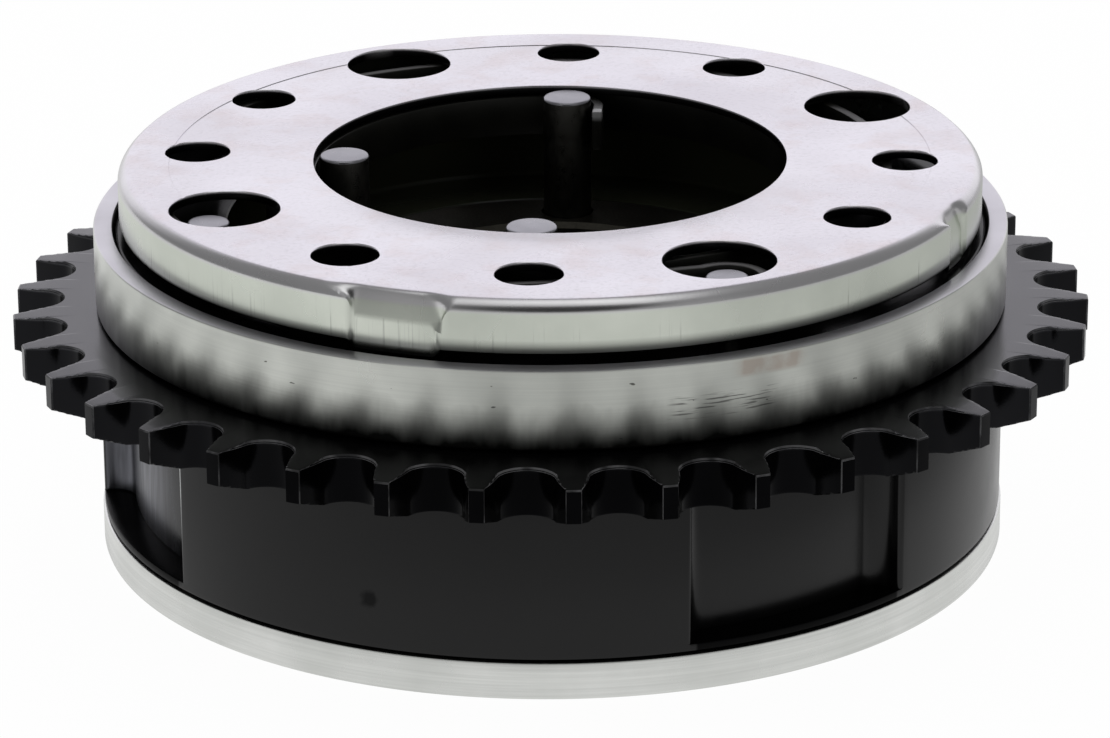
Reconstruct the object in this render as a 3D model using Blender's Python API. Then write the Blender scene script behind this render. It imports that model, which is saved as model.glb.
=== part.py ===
"""Vane cam phaser: a chain sprocket with a hydraulic adjuster, standing on its rear plate.

Sizes are in metres. +Z is the camshaft's axis and points to the front, and the origin is the centre of
the rear face. Angles are in degrees, anticlockwise from +X as seen from the front.
"""

import math

import bmesh
import bpy
from mathutils import Matrix, Vector

# Clearances: what is clamped or pressed together, and what runs or slides
SEAT_GAP = 0.0003
RUNNING_GAP = 0.0003

# Sides of the round shapes, by size
LARGE_ROUND = 60
MEDIUM_ROUND = 40
HOLE_ROUND = 16
SMALL_ROUND = 12

# Rear plate
PLATE_RADIUS = 0.0508
PLATE_THICKNESS = 0.0042
PLATE_BORE_RADIUS = 0.0180
PLATE_EDGE_BREAK = 0.0004

# Stator: four lands outside, four lobes and four chambers inside
STATOR_LENGTH = 0.01755
STATOR_RADIUS = 0.05070
STATOR_FLANGE_THICKNESS = 0.0008
RECESS_DEPTH = 0.0034
LAND_BROW_RADIUS = 0.0006
RECESS_FILLET_RADIUS = 0.0024
RECESS_CENTRES = (-57.9, 28.4, 114.8, 201.15)
RECESS_WIDTHS = (30.6, 31.7, 31.7, 32.9)
LAND_WALL = 0.0052
CHAMBER_END_WALL = 0.0024

# Sprocket: teeth for a 3/8 inch roller chain on a turned front housing
TEETH = 38
CHAIN_PITCH = 0.009525
ROLLER_RADIUS = 0.003175
SEATING_CLEARANCE = 0.00006
SEATING_HALF_ANGLE = 62
ADDENDUM = 0.00233
TIP_LAND = 0.0015
TOOTH_THICKNESS = 0.0053
CHAMFER_REACH = 0.0037
FRONT_CHAMFER = 0.0004
REAR_CHAMFER = 0.0013
FIRST_TOOTH_ANGLE = -87.89
FRONT_WALL = 0.00675
BOSS_RADIUS = 0.0484
SPRING_CAVITY_RADIUS = 0.0360
SPRING_CAVITY_DEPTH = 0.0070

# Seal ring around the boss
RING_RADIUS = 0.0508
RING_HEIGHT = 0.00875
RING_EDGE_ROUND = 0.0004

# Rotor
SWING = 20.0
HUB_RADIUS = 0.0310
SPIGOT_RADIUS = 0.0270
BOLT_HEAD_BORE_RADIUS = 0.0184
BOLT_HEAD_BORE_DEPTH = 0.0146
BOLT_BORE_RADIUS = 0.0075
BORE_CHAMFER = 0.0006
CAM_SEAT_CLEARANCE = 0.0012
CAM_SEAT_DEPTH = 0.0006
STOP_GAP_ANGLE = 0.7
NARROW_VANE_ANGLE = 24.0
NARROW_VANE_LEAD = 2.2
OIL_DRILLING_RADIUS = 0.0012
OIL_DRILLING_HEIGHT = 0.0055
OIL_GROOVE_DEPTH = 0.0014
OIL_GROOVE_WIDTH = 0.0024
CAM_DOWEL_HOLE_RADIUS = 0.0022
CAM_DOWEL_HOLE_DEPTH = 0.0050
CAM_DOWEL_CIRCLE_RADIUS = 0.0135
CAM_DOWEL_ANGLE = 105.0

# Vane seals and the leaf springs under them
SEAL_WIDTH = 0.0018
SEAL_HEIGHT = 0.0026
LEAF_THICKNESS = 0.0004
LEAF_RISE = 0.0005
LEAF_END_MARGIN = 0.0020
WIDE_VANE_SEAL_ANGLE = 12.0

# Lock pin in the wide vane, and its seat in the rear plate
LOCK_ANGLE_FROM_CENTRE = -8.0
LOCK_PIN_RADIUS = 0.0045
LOCK_PIN_LENGTH = 0.0115
LOCK_TIP_RADIUS = 0.0030
LOCK_TIP_LENGTH = 0.0032
LOCK_PIN_WALL = 0.0012
LOCK_PIN_FLOOR = 0.0060
LOCK_SEAT_WALL = 0.0016
LOCK_CAP_THICKNESS = 0.0022
LOCK_CAP_VENT_RADIUS = 0.0010
LOCK_SPRING_WIRE_RADIUS = 0.00035
LOCK_SPRING_TURNS = 4

# Assembly screws and the dowel that lines the rear plate up
SCREW_RADIUS = 0.0025
SCREW_HEAD_RADIUS = 0.0046
SCREW_HEAD_HEIGHT = 0.0024
SCREW_HEAD_SINK = 0.0003
SCREW_GRIP = 0.0062
SOCKET_RADIUS = 0.0020
SOCKET_DEPTH = 0.0015
DOWEL_RADIUS = 0.0015
DOWEL_EDGE_DISTANCE = 0.0053
DOWEL_ANGLE_FROM_LOBE = 10.0
DOWEL_SINK = 0.0008
DOWEL_GRIP = 0.0040

# Cover: a pressed cup whose stepped skirt is the tone wheel
COVER_HEIGHT = 0.0069
SHEET = 0.0010
COVER_TOP_RADIUS = 0.0469
SKIRT_RADIUS = 0.0479
SKIRT_CHAMFER = 0.0012
SKIRT_RAISE = 0.0009
NOTCH_RADIUS = 0.0469
NOTCH_CORNER_RADIUS = 0.0030
NOTCH_CENTRES = (-108.9, -20.1)
NOTCH_WIDTHS = (12.6, 9.0)
NOTCH_STEP = 1.3
CENTRE_HOLE_RADIUS = 0.0262
HOLE_CIRCLE_RADIUS = 0.0393
HOLE_COUNT = 12
FIRST_HOLE_ANGLE = -63.3
LARGE_HOLE_EVERY = 3
LARGE_HOLE_RADIUS = 0.0060
SMALL_HOLE_RADIUS = 0.0036

# Spring pins
INNER_PIN_RADIUS = 0.00275
INNER_PIN_CIRCLE_RADIUS = 0.0230
INNER_PIN_ANGLES = (85.0, 175.0, 265.0)
INNER_PIN_BELOW_TOP = 0.00033
INNER_PIN_SEAT_DEPTH = 0.0047
OUTER_PIN_RADIUS = 0.0023
OUTER_PIN_CIRCLE_RADIUS = 0.0410
OUTER_PIN_ANGLES = (-63.3, -154.0)
OUTER_PIN_SEAT_DEPTH = 0.0045
PIN_END_ROUND = 0.0006

# Bias spring: a flat strip that winds outwards, hooked at both ends
STRIP_THICKNESS = 0.00115
STRIP_WIDTH = 0.0046
INNER_HOOK_LENGTH = 0.0026
COIL_ANGLES = (297.0, 385.0, 433.0, 657.0, 688.0, 720.0, 750.0, 835.0)
COIL_RADII = (0.0272, 0.0284, 0.0292, 0.0336, 0.0355, 0.0374, 0.0392, 0.0412)
COIL_STEP = 12.0
LAST_COIL_ANGLE = 986.0
LAST_COIL_RADIUS = 0.0384
HOOK_START_ANGLE = 1008.0
HOOK_START_RADIUS = 0.0363
OUTER_HOOK_RADIUS = 0.0040
OUTER_HOOK_FROM = 130.0
OUTER_HOOK_TO = 8.0

# Radii that follow from the ones above
PITCH_RADIUS = CHAIN_PITCH / (2 * math.sin(math.pi / TEETH))
TIP_RADIUS = PITCH_RADIUS + ADDENDUM
RECESS_RADIUS = STATOR_RADIUS - RECESS_DEPTH
CHAMBER_RADIUS = STATOR_RADIUS - LAND_WALL
SCREW_CIRCLE_RADIUS = (HUB_RADIUS + RECESS_RADIUS) / 2
DOWEL_CIRCLE_RADIUS = RECESS_RADIUS - DOWEL_EDGE_DISTANCE
LOCK_CIRCLE_RADIUS = (HUB_RADIUS + CHAMBER_RADIUS) / 2

# Heights of the faces, from the rear plate up
STATOR_FOOT = PLATE_THICKNESS + SEAT_GAP
STATOR_TOP = STATOR_FOOT + STATOR_LENGTH
SPROCKET_FOOT = STATOR_TOP + SEAT_GAP
TOOTH_TOP = SPROCKET_FOOT + TOOTH_THICKNESS
CAVITY_FLOOR = SPROCKET_FOOT + FRONT_WALL
SHELF = CAVITY_FLOOR + SPRING_CAVITY_DEPTH
COVER_FOOT = SHELF + SEAT_GAP
COVER_TOP = COVER_FOOT + COVER_HEIGHT
COVER_UNDERSIDE = COVER_TOP - SHEET
ROTOR_REAR = STATOR_FOOT
VANE_TOP = STATOR_TOP

# Overrun of a cutter past the face that it opens, and the distance at which points are one
OVERRUN = 0.001
MERGE = 1e-7


def polar(radius, degrees, height=None):
    """A point at this radius and angle, flat or at a height."""
    angle = math.radians(degrees)
    x, y = radius * math.cos(angle), radius * math.sin(angle)
    return (x, y) if height is None else (x, y, height)


def material(name, colour, roughness, metallic=1.0):
    made = bpy.data.materials.new(name)
    made.use_nodes = True
    shader = made.node_tree.nodes["Principled BSDF"]
    shader.inputs["Base Color"].default_value = (*colour, 1.0)
    shader.inputs["Roughness"].default_value = roughness
    shader.inputs["Metallic"].default_value = metallic
    made.diffuse_color = (*colour, 1.0)
    return made


def piece(name, mesh, finish=None, location=(0.0, 0.0, 0.0), turn=0.0, parent=None):
    """Makes an object of a bmesh. Its faces point out, and edges sharper than 40 degrees stay sharp."""
    bmesh.ops.recalc_face_normals(mesh, faces=mesh.faces)
    data = bpy.data.meshes.new(name)
    mesh.to_mesh(data)
    mesh.free()
    data.shade_smooth()
    data.set_sharp_from_angle(angle=math.radians(40))
    made = bpy.data.objects.new(name, data)
    bpy.context.scene.collection.objects.link(made)
    made.location = location
    made.rotation_euler.z = math.radians(turn)
    made.parent = parent
    if finish:
        data.materials.append(finish)
    return made


def cut(target, name, mesh):
    """Takes the cutter's shape out of the target and keeps the cutter as a hidden wire object."""
    cutter = piece(name, mesh)
    cutter.hide_render = True
    cutter.display_type = "WIRE"
    boolean = target.modifiers.new(name, "BOOLEAN")
    boolean.operation = "DIFFERENCE"
    boolean.object = cutter


def add_turned(mesh, profile, sides, centre=(0.0, 0.0), ring=False):
    """Spins a profile of (radius, height) points about an upright axis through the centre.

    A ring's profile closes on itself. Any other profile runs from one flat end to the other.
    """
    x, y = centre
    points = [mesh.verts.new((x + radius, y, height)) for radius, height in profile]
    after = points[1:] + points[:1] if ring else points[1:]
    edges = [mesh.edges.new(pair) for pair in zip(points, after)]
    before = set(mesh.verts) - set(points)
    bmesh.ops.spin(
        mesh, geom=points + edges, cent=(x, y, 0), axis=(0, 0, 1), angle=math.tau, steps=sides
    )
    fresh = [vertex for vertex in mesh.verts if vertex not in before]
    bmesh.ops.remove_doubles(mesh, verts=fresh, dist=MERGE)
    if not ring:
        rims = [edge for edge in mesh.edges if edge.is_boundary]
        bmesh.ops.holes_fill(mesh, edges=rims, sides=0)


def add_prism(mesh, outline, foot, top):
    """Fills a flat outline at the foot and extrudes it up to the top."""
    face = mesh.faces.new([mesh.verts.new((x, y, foot)) for x, y in outline])
    extruded = bmesh.ops.extrude_face_region(mesh, geom=[face])
    raised = [part for part in extruded["geom"] if isinstance(part, bmesh.types.BMVert)]
    bmesh.ops.translate(mesh, verts=raised, vec=(0, 0, top - foot))


def add_strip(mesh, path, thickness, foot, top):
    """Gives a flat path a thickness to both sides of it and extrudes it from the foot to the top."""
    rungs = []
    for index, point in enumerate(path):
        ahead = Vector(path[min(index + 1, len(path) - 1)])
        behind = Vector(path[max(index - 1, 0)])
        side = (ahead - behind).normalized().orthogonal() * thickness / 2
        left, right = Vector(point) + side, Vector(point) - side
        rungs.append([mesh.verts.new((*left, foot)), mesh.verts.new((*right, foot))])
    faces = [
        mesh.faces.new([first[0], first[1], second[1], second[0]])
        for first, second in zip(rungs, rungs[1:])
    ]
    extruded = bmesh.ops.extrude_face_region(mesh, geom=faces)
    raised = [part for part in extruded["geom"] if isinstance(part, bmesh.types.BMVert)]
    bmesh.ops.translate(mesh, verts=raised, vec=(0, 0, top - foot))


def arc(radius, start, end, step=6.0):
    """Points along an arc about the axis, both ends included, at most a step apart."""
    count = max(1, math.ceil(abs(end - start) / step))
    return [polar(radius, start + (end - start) * index / count) for index in range(count + 1)]


def degrees_of(length, radius):
    """The angle that a length spans at a radius."""
    return math.degrees(length / radius)


# Lands lie between neighbouring recesses, and each has a chamber behind it
def lands():
    """Start and end angle of each land, starting with the one after the first recess."""
    ends = []
    for index, (centre, width) in enumerate(zip(RECESS_CENTRES, RECESS_WIDTHS)):
        following = (index + 1) % len(RECESS_CENTRES)
        start = centre + width / 2
        end = RECESS_CENTRES[following] - RECESS_WIDTHS[following] / 2
        ends.append((start, end if end > start else end + 360))
    return ends


def chambers():
    """Start and end angle of each chamber, a wall's thickness inside the ends of its land."""
    wall = degrees_of(CHAMBER_END_WALL, CHAMBER_RADIUS)
    return [(start + wall, end - wall) for start, end in lands()]


def vanes():
    """Start and end angle of each vane at rest. The widest chamber's vane has the stops and the lock pin."""
    widest = max(chambers(), key=lambda ends: ends[1] - ends[0])
    found = []
    for start, end in chambers():
        if (start, end) == widest:
            found.append((start + STOP_GAP_ANGLE, end - STOP_GAP_ANGLE - SWING))
        else:
            found.append((start + NARROW_VANE_LEAD, start + NARROW_VANE_LEAD + NARROW_VANE_ANGLE))
    return found


def wide_vane():
    return max(vanes(), key=lambda ends: ends[1] - ends[0])


def seal_angle(vane):
    """The middle of a narrow vane. In the wide vane the seal stands beside the lock pin."""
    middle = sum(vane) / 2
    return middle + WIDE_VANE_SEAL_ANGLE if vane == wide_vane() else middle


def lock_place():
    return polar(LOCK_CIRCLE_RADIUS, sum(wide_vane()) / 2 + LOCK_ANGLE_FROM_CENTRE)


def screw_places():
    return [polar(SCREW_CIRCLE_RADIUS, angle) for angle in RECESS_CENTRES]


def dowel_place():
    return polar(DOWEL_CIRCLE_RADIUS, RECESS_CENTRES[2] + DOWEL_ANGLE_FROM_LOBE)


def inner_pin_places():
    return [polar(INNER_PIN_CIRCLE_RADIUS, angle) for angle in INNER_PIN_ANGLES]


def outer_pin_places():
    return [polar(OUTER_PIN_CIRCLE_RADIUS, angle) for angle in OUTER_PIN_ANGLES]


def add_drillings(mesh, places, radius, foot, top):
    for place in places:
        add_turned(mesh, [(radius, foot), (radius, top)], SMALL_ROUND, place)


# Rear plate: a turned disc with countersunk screw holes and a bore for the camshaft's nose
def rear_plate(finish):
    mesh = bmesh.new()
    radius, bore, edge = PLATE_RADIUS, PLATE_BORE_RADIUS, PLATE_EDGE_BREAK
    section = [
        (bore, 0),
        (radius - edge, 0),
        (radius, edge),
        (radius, PLATE_THICKNESS),
        (bore, PLATE_THICKNESS),
    ]
    add_turned(mesh, section, LARGE_ROUND, ring=True)
    plate = piece("rear_plate", mesh, finish)

    holes = bmesh.new()
    shank = SCREW_RADIUS + SEAT_GAP
    head = SCREW_HEAD_RADIUS + SEAT_GAP
    for place in screw_places():
        countersink = [
            (head, -OVERRUN),
            (head, SCREW_HEAD_SINK),
            (shank, SCREW_HEAD_SINK + SCREW_HEAD_HEIGHT),
            (shank, PLATE_THICKNESS + OVERRUN),
        ]
        add_turned(holes, countersink, SMALL_ROUND, place)
    seat = LOCK_TIP_RADIUS + RUNNING_GAP + LOCK_SEAT_WALL + SEAT_GAP
    through = [(seat, -OVERRUN), (seat, PLATE_THICKNESS + OVERRUN)]
    add_turned(holes, through, SMALL_ROUND, lock_place())
    dowel = DOWEL_RADIUS + SEAT_GAP
    add_drillings(
        holes, [dowel_place()], dowel, DOWEL_SINK - SEAT_GAP, PLATE_THICKNESS + OVERRUN
    )
    cut(plate, "plate_hole_cutter", holes)


# Stator: lands and recesses outside on a thin round flange, lobes and chambers inside
def stator_outline():
    """The outer outline: arcs at the lands' and the recesses' radii, with rounded corners between them."""
    brow_radius = LAND_BROW_RADIUS
    fillet = RECESS_FILLET_RADIUS
    crest = STATOR_RADIUS - brow_radius
    root = RECESS_RADIUS + fillet
    root_inset = degrees_of(fillet, root)
    crest_inset = degrees_of(brow_radius, crest)
    bends = [(math.sin(step * math.pi / 8), math.cos(step * math.pi / 8)) for step in range(5)]

    def shoulder(angle, side):
        """The wide foot and the small brow at one end of a land, from the recess up to the land."""
        foot = [polar(root - fillet * c, angle - side * root_inset * (1 - s)) for s, c in bends]
        brow = [polar(crest + brow_radius * s, angle + side * crest_inset * (1 - c)) for s, c in bends[::2]]
        return foot + brow

    outline = []
    for (start, end), (next_start, _) in zip(lands(), lands()[1:] + lands()[:1]):
        outline += shoulder(start, 1)
        outline += arc(STATOR_RADIUS, start + crest_inset, end - crest_inset)[1:-1]
        outline += shoulder(end, -1)[::-1]
        following = next_start if next_start > end else next_start + 360
        outline += arc(RECESS_RADIUS, end + root_inset, following - root_inset)[1:-1]
    return outline


def lobed_outline(spans, outer, inner):
    """Arcs at the outer radius over the spans and at the inner radius between them."""
    outline = []
    for (start, end), (next_start, _) in zip(spans, spans[1:] + spans[:1]):
        following = next_start if next_start > end else next_start + 360
        outline += arc(outer, start, end)
        outline += arc(inner, end, following)
    return outline


def stator(finish):
    mesh = bmesh.new()
    outline = stator_outline()
    ledge = STATOR_FOOT + STATOR_FLANGE_THICKNESS
    flange = [Vector(point).normalized() * STATOR_RADIUS for point in outline]
    levels = [(flange, STATOR_FOOT), (flange, ledge), (outline, ledge), (outline, STATOR_TOP)]
    loops = [[mesh.verts.new((*point, height)) for point in points] for points, height in levels]
    for lower, upper in zip(loops, loops[1:]):
        for index in range(len(outline)):
            mesh.faces.new([lower[index - 1], lower[index], upper[index], upper[index - 1]])
    mesh.faces.new(loops[0])
    mesh.faces.new(loops[-1])
    bmesh.ops.remove_doubles(mesh, verts=mesh.verts, dist=MERGE)
    ring = piece("stator", mesh, finish)

    inside = bmesh.new()
    foot, top = STATOR_FOOT - OVERRUN, STATOR_TOP + OVERRUN
    add_prism(inside, lobed_outline(chambers(), CHAMBER_RADIUS, HUB_RADIUS + RUNNING_GAP), foot, top)
    cut(ring, "chamber_cutter", inside)

    holes = bmesh.new()
    add_drillings(holes, screw_places(), SCREW_RADIUS + SEAT_GAP, foot, top)
    add_drillings(holes, [dowel_place()], DOWEL_RADIUS + SEAT_GAP, foot, top)
    cut(ring, "stator_hole_cutter", holes)


# Sprocket: the housing's front wall, its toothed rim and the boss with the spring cavity are one piece
def tooth_gap(centre):
    """Outline of one gap: the roller's seat and the flanks, which run on past the tips."""
    seat = ROLLER_RADIUS + SEATING_CLEARANCE
    half_pitch = 180 / TEETH
    side = [(PITCH_RADIUS - seat, 0.0)]
    for bend in (SEATING_HALF_ANGLE / 2, SEATING_HALF_ANGLE):
        turn = math.radians(bend)
        side.append((PITCH_RADIUS - seat * math.cos(turn), seat * math.sin(turn)))
    tip = polar(TIP_RADIUS, half_pitch - degrees_of(TIP_LAND / 2, TIP_RADIUS))
    flank = (Vector(tip) - Vector(side[-1])).normalized()
    side.append(tuple(Vector(tip) + flank * OVERRUN))
    mirrored = [(x, -y) for x, y in side[1:]]
    turned = Matrix.Rotation(math.radians(centre), 2)
    return [tuple(turned @ Vector(point)) for point in mirrored[::-1] + side]


def sprocket(finish):
    mesh = bmesh.new()
    bore = SPIGOT_RADIUS + RUNNING_GAP
    section = [
        (bore, SPROCKET_FOOT),
        (TIP_RADIUS - CHAMFER_REACH, SPROCKET_FOOT),
        (TIP_RADIUS, SPROCKET_FOOT + REAR_CHAMFER),
        (TIP_RADIUS, TOOTH_TOP - FRONT_CHAMFER),
        (TIP_RADIUS - CHAMFER_REACH, TOOTH_TOP),
        (BOSS_RADIUS, TOOTH_TOP),
        (BOSS_RADIUS, SHELF),
        (SPRING_CAVITY_RADIUS, SHELF),
        (SPRING_CAVITY_RADIUS, CAVITY_FLOOR),
        (bore, CAVITY_FLOOR),
    ]
    add_turned(mesh, section, 2 * TEETH, ring=True)
    quarter_pitch = 90 / TEETH
    turned = Matrix.Rotation(math.radians(FIRST_TOOTH_ANGLE + quarter_pitch), 4, "Z")
    bmesh.ops.transform(mesh, matrix=turned, verts=mesh.verts)
    wheel = piece("sprocket", mesh, finish)

    gaps = bmesh.new()
    for number in range(TEETH):
        centre = FIRST_TOOTH_ANGLE + (number + 0.5) * 360 / TEETH
        add_prism(gaps, tooth_gap(centre), SPROCKET_FOOT - OVERRUN, TOOTH_TOP + OVERRUN)
    cut(wheel, "tooth_gap_cutter", gaps)

    holes = bmesh.new()
    foot = SPROCKET_FOOT - OVERRUN
    screw_end = SPROCKET_FOOT + SCREW_GRIP + SEAT_GAP
    dowel_end = SPROCKET_FOOT + DOWEL_GRIP + SEAT_GAP
    add_drillings(holes, screw_places(), SCREW_RADIUS + SEAT_GAP, foot, screw_end)
    add_drillings(holes, [dowel_place()], DOWEL_RADIUS + SEAT_GAP, foot, dowel_end)
    seat_floor = SHELF - OUTER_PIN_SEAT_DEPTH - SEAT_GAP
    add_drillings(holes, outer_pin_places(), OUTER_PIN_RADIUS + SEAT_GAP, seat_floor, SHELF + OVERRUN)
    cut(wheel, "sprocket_hole_cutter", holes)


def seal_ring(finish):
    mesh = bmesh.new()
    inner = BOSS_RADIUS + SEAT_GAP
    foot = TOOTH_TOP + SEAT_GAP
    top = foot + RING_HEIGHT
    edge = RING_EDGE_ROUND
    section = [
        (inner, foot),
        (RING_RADIUS, foot),
        (RING_RADIUS, top - edge),
        (RING_RADIUS - edge, top),
        (inner, top),
    ]
    add_turned(mesh, section, LARGE_ROUND, ring=True)
    piece("seal_ring", mesh, finish)


# Rotor: a hub with one wide and three narrow vanes, and a spigot that runs in the sprocket's bore
def rotor(finish):
    mesh = bmesh.new()
    tip = CHAMBER_RADIUS - 2 * RUNNING_GAP
    add_prism(mesh, lobed_outline(vanes(), tip, HUB_RADIUS), ROTOR_REAR, VANE_TOP)
    hub = piece("rotor", mesh, finish)

    neck = bmesh.new()
    add_turned(neck, [(SPIGOT_RADIUS, ROTOR_REAR + OVERRUN), (SPIGOT_RADIUS, CAVITY_FLOOR)], MEDIUM_ROUND)
    spigot = piece("rotor_spigot_form", neck)
    spigot.hide_render = True
    spigot.display_type = "WIRE"
    union = hub.modifiers.new("spigot", "BOOLEAN")
    union.operation = "UNION"
    union.object = spigot

    bore = bmesh.new()
    head_floor = CAVITY_FLOOR - BOLT_HEAD_BORE_DEPTH
    seat_radius = PLATE_BORE_RADIUS - CAM_SEAT_CLEARANCE
    seat_height = ROTOR_REAR + CAM_SEAT_DEPTH
    bore_section = [
        (seat_radius, ROTOR_REAR - OVERRUN),
        (seat_radius, seat_height),
        (BOLT_BORE_RADIUS, seat_height),
        (BOLT_BORE_RADIUS, head_floor),
        (BOLT_HEAD_BORE_RADIUS, head_floor),
        (BOLT_HEAD_BORE_RADIUS, CAVITY_FLOOR - BORE_CHAMFER),
        (BOLT_HEAD_BORE_RADIUS + BORE_CHAMFER + OVERRUN, CAVITY_FLOOR + OVERRUN),
    ]
    add_turned(bore, bore_section, MEDIUM_ROUND)
    cut(hub, "rotor_bore_cutter", bore)

    slots = bmesh.new()
    width = SEAL_WIDTH + 2 * RUNNING_GAP
    floor = CHAMBER_RADIUS - RUNNING_GAP - SEAL_HEIGHT - LEAF_THICKNESS - LEAF_RISE - 2 * RUNNING_GAP
    for vane in vanes():
        reach = (floor, CHAMBER_RADIUS + OVERRUN)
        flat = [(reach[0], -width / 2), (reach[1], -width / 2), (reach[1], width / 2), (reach[0], width / 2)]
        turned = Matrix.Rotation(math.radians(seal_angle(vane)), 2)
        outline = [tuple(turned @ Vector(point)) for point in flat]
        add_prism(slots, outline, ROTOR_REAR - OVERRUN, VANE_TOP + OVERRUN)
    cut(hub, "seal_slot_cutter", slots)

    holes = bmesh.new()
    foot = ROTOR_REAR - OVERRUN
    lock_bore = LOCK_PIN_RADIUS + RUNNING_GAP
    add_drillings(holes, [lock_place()], lock_bore, foot, VANE_TOP + OVERRUN)
    seat_floor = CAVITY_FLOOR - INNER_PIN_SEAT_DEPTH - SEAT_GAP
    add_drillings(holes, inner_pin_places(), INNER_PIN_RADIUS + SEAT_GAP, seat_floor, CAVITY_FLOOR + OVERRUN)
    cam_dowel = polar(CAM_DOWEL_CIRCLE_RADIUS, CAM_DOWEL_ANGLE)
    add_drillings(holes, [cam_dowel], CAM_DOWEL_HOLE_RADIUS, foot, ROTOR_REAR + CAM_DOWEL_HOLE_DEPTH)
    cut(hub, "rotor_hole_cutter", holes)

    cut(hub, "oil_way_cutter", oil_ways())
    return hub


def oil_ways():
    """A drilling beside one side of each vane, and a groove across the rear beside its other side."""
    mesh = bmesh.new()
    start = BOLT_BORE_RADIUS - OVERRUN
    reach = HUB_RADIUS + OVERRUN - start
    for begin, end in vanes():
        before = begin - degrees_of(OIL_DRILLING_RADIUS + RUNNING_GAP, HUB_RADIUS)
        lay = Matrix.Rotation(math.radians(before), 4, "Z") @ Matrix.Rotation(math.pi / 2, 4, "Y")
        middle = Vector(polar(start + reach / 2, before, ROTOR_REAR + OIL_DRILLING_HEIGHT))
        bmesh.ops.create_cone(
            mesh,
            cap_ends=True,
            segments=8,
            radius1=OIL_DRILLING_RADIUS,
            radius2=OIL_DRILLING_RADIUS,
            depth=reach,
            matrix=Matrix.Translation(middle) @ lay,
        )
        after = end + degrees_of(OIL_GROOVE_WIDTH / 2 + RUNNING_GAP, HUB_RADIUS)
        half = OIL_GROOVE_WIDTH / 2
        flat = [(start, -half), (start + reach, -half), (start + reach, half), (start, half)]
        turned = Matrix.Rotation(math.radians(after), 2)
        outline = [tuple(turned @ Vector(point)) for point in flat]
        add_prism(mesh, outline, ROTOR_REAR - OVERRUN, ROTOR_REAR + OIL_GROOVE_DEPTH)
    return mesh


def vane_seals(hub, finish, spring_finish):
    """A strip in each vane's tip, and a bowed leaf spring between it and the floor of its slot."""
    outer = CHAMBER_RADIUS - RUNNING_GAP
    inner = outer - SEAL_HEIGHT
    foot, top = ROTOR_REAR + RUNNING_GAP, VANE_TOP - RUNNING_GAP
    middle = (foot + top) / 2
    half_length = (top - foot) / 2 - LEAF_END_MARGIN
    leaf_outer = inner - RUNNING_GAP
    for number, vane in enumerate(vanes(), 1):
        turn = seal_angle(vane)
        mesh = bmesh.new()
        half = SEAL_WIDTH / 2
        add_prism(mesh, [(inner, -half), (outer, -half), (outer, half), (inner, half)], foot, top)
        piece(f"vane_seal_{number}", mesh, finish, turn=turn, parent=hub)

        leaf = bmesh.new()
        bow = []
        for share in (-1.0, -0.5, 0.0, 0.5, 1.0):
            sag = LEAF_RISE * (1 - share**2)
            bow.append((leaf_outer - LEAF_THICKNESS / 2 - sag, middle + share * half_length))
        add_strip(leaf, bow, LEAF_THICKNESS, -half, half)
        upright = Matrix(((1, 0, 0, 0), (0, 0, 1, 0), (0, 1, 0, 0), (0, 0, 0, 1)))
        bmesh.ops.transform(leaf, matrix=upright, verts=leaf.verts)
        piece(f"seal_spring_{number}", leaf, spring_finish, turn=turn, parent=hub)


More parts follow.
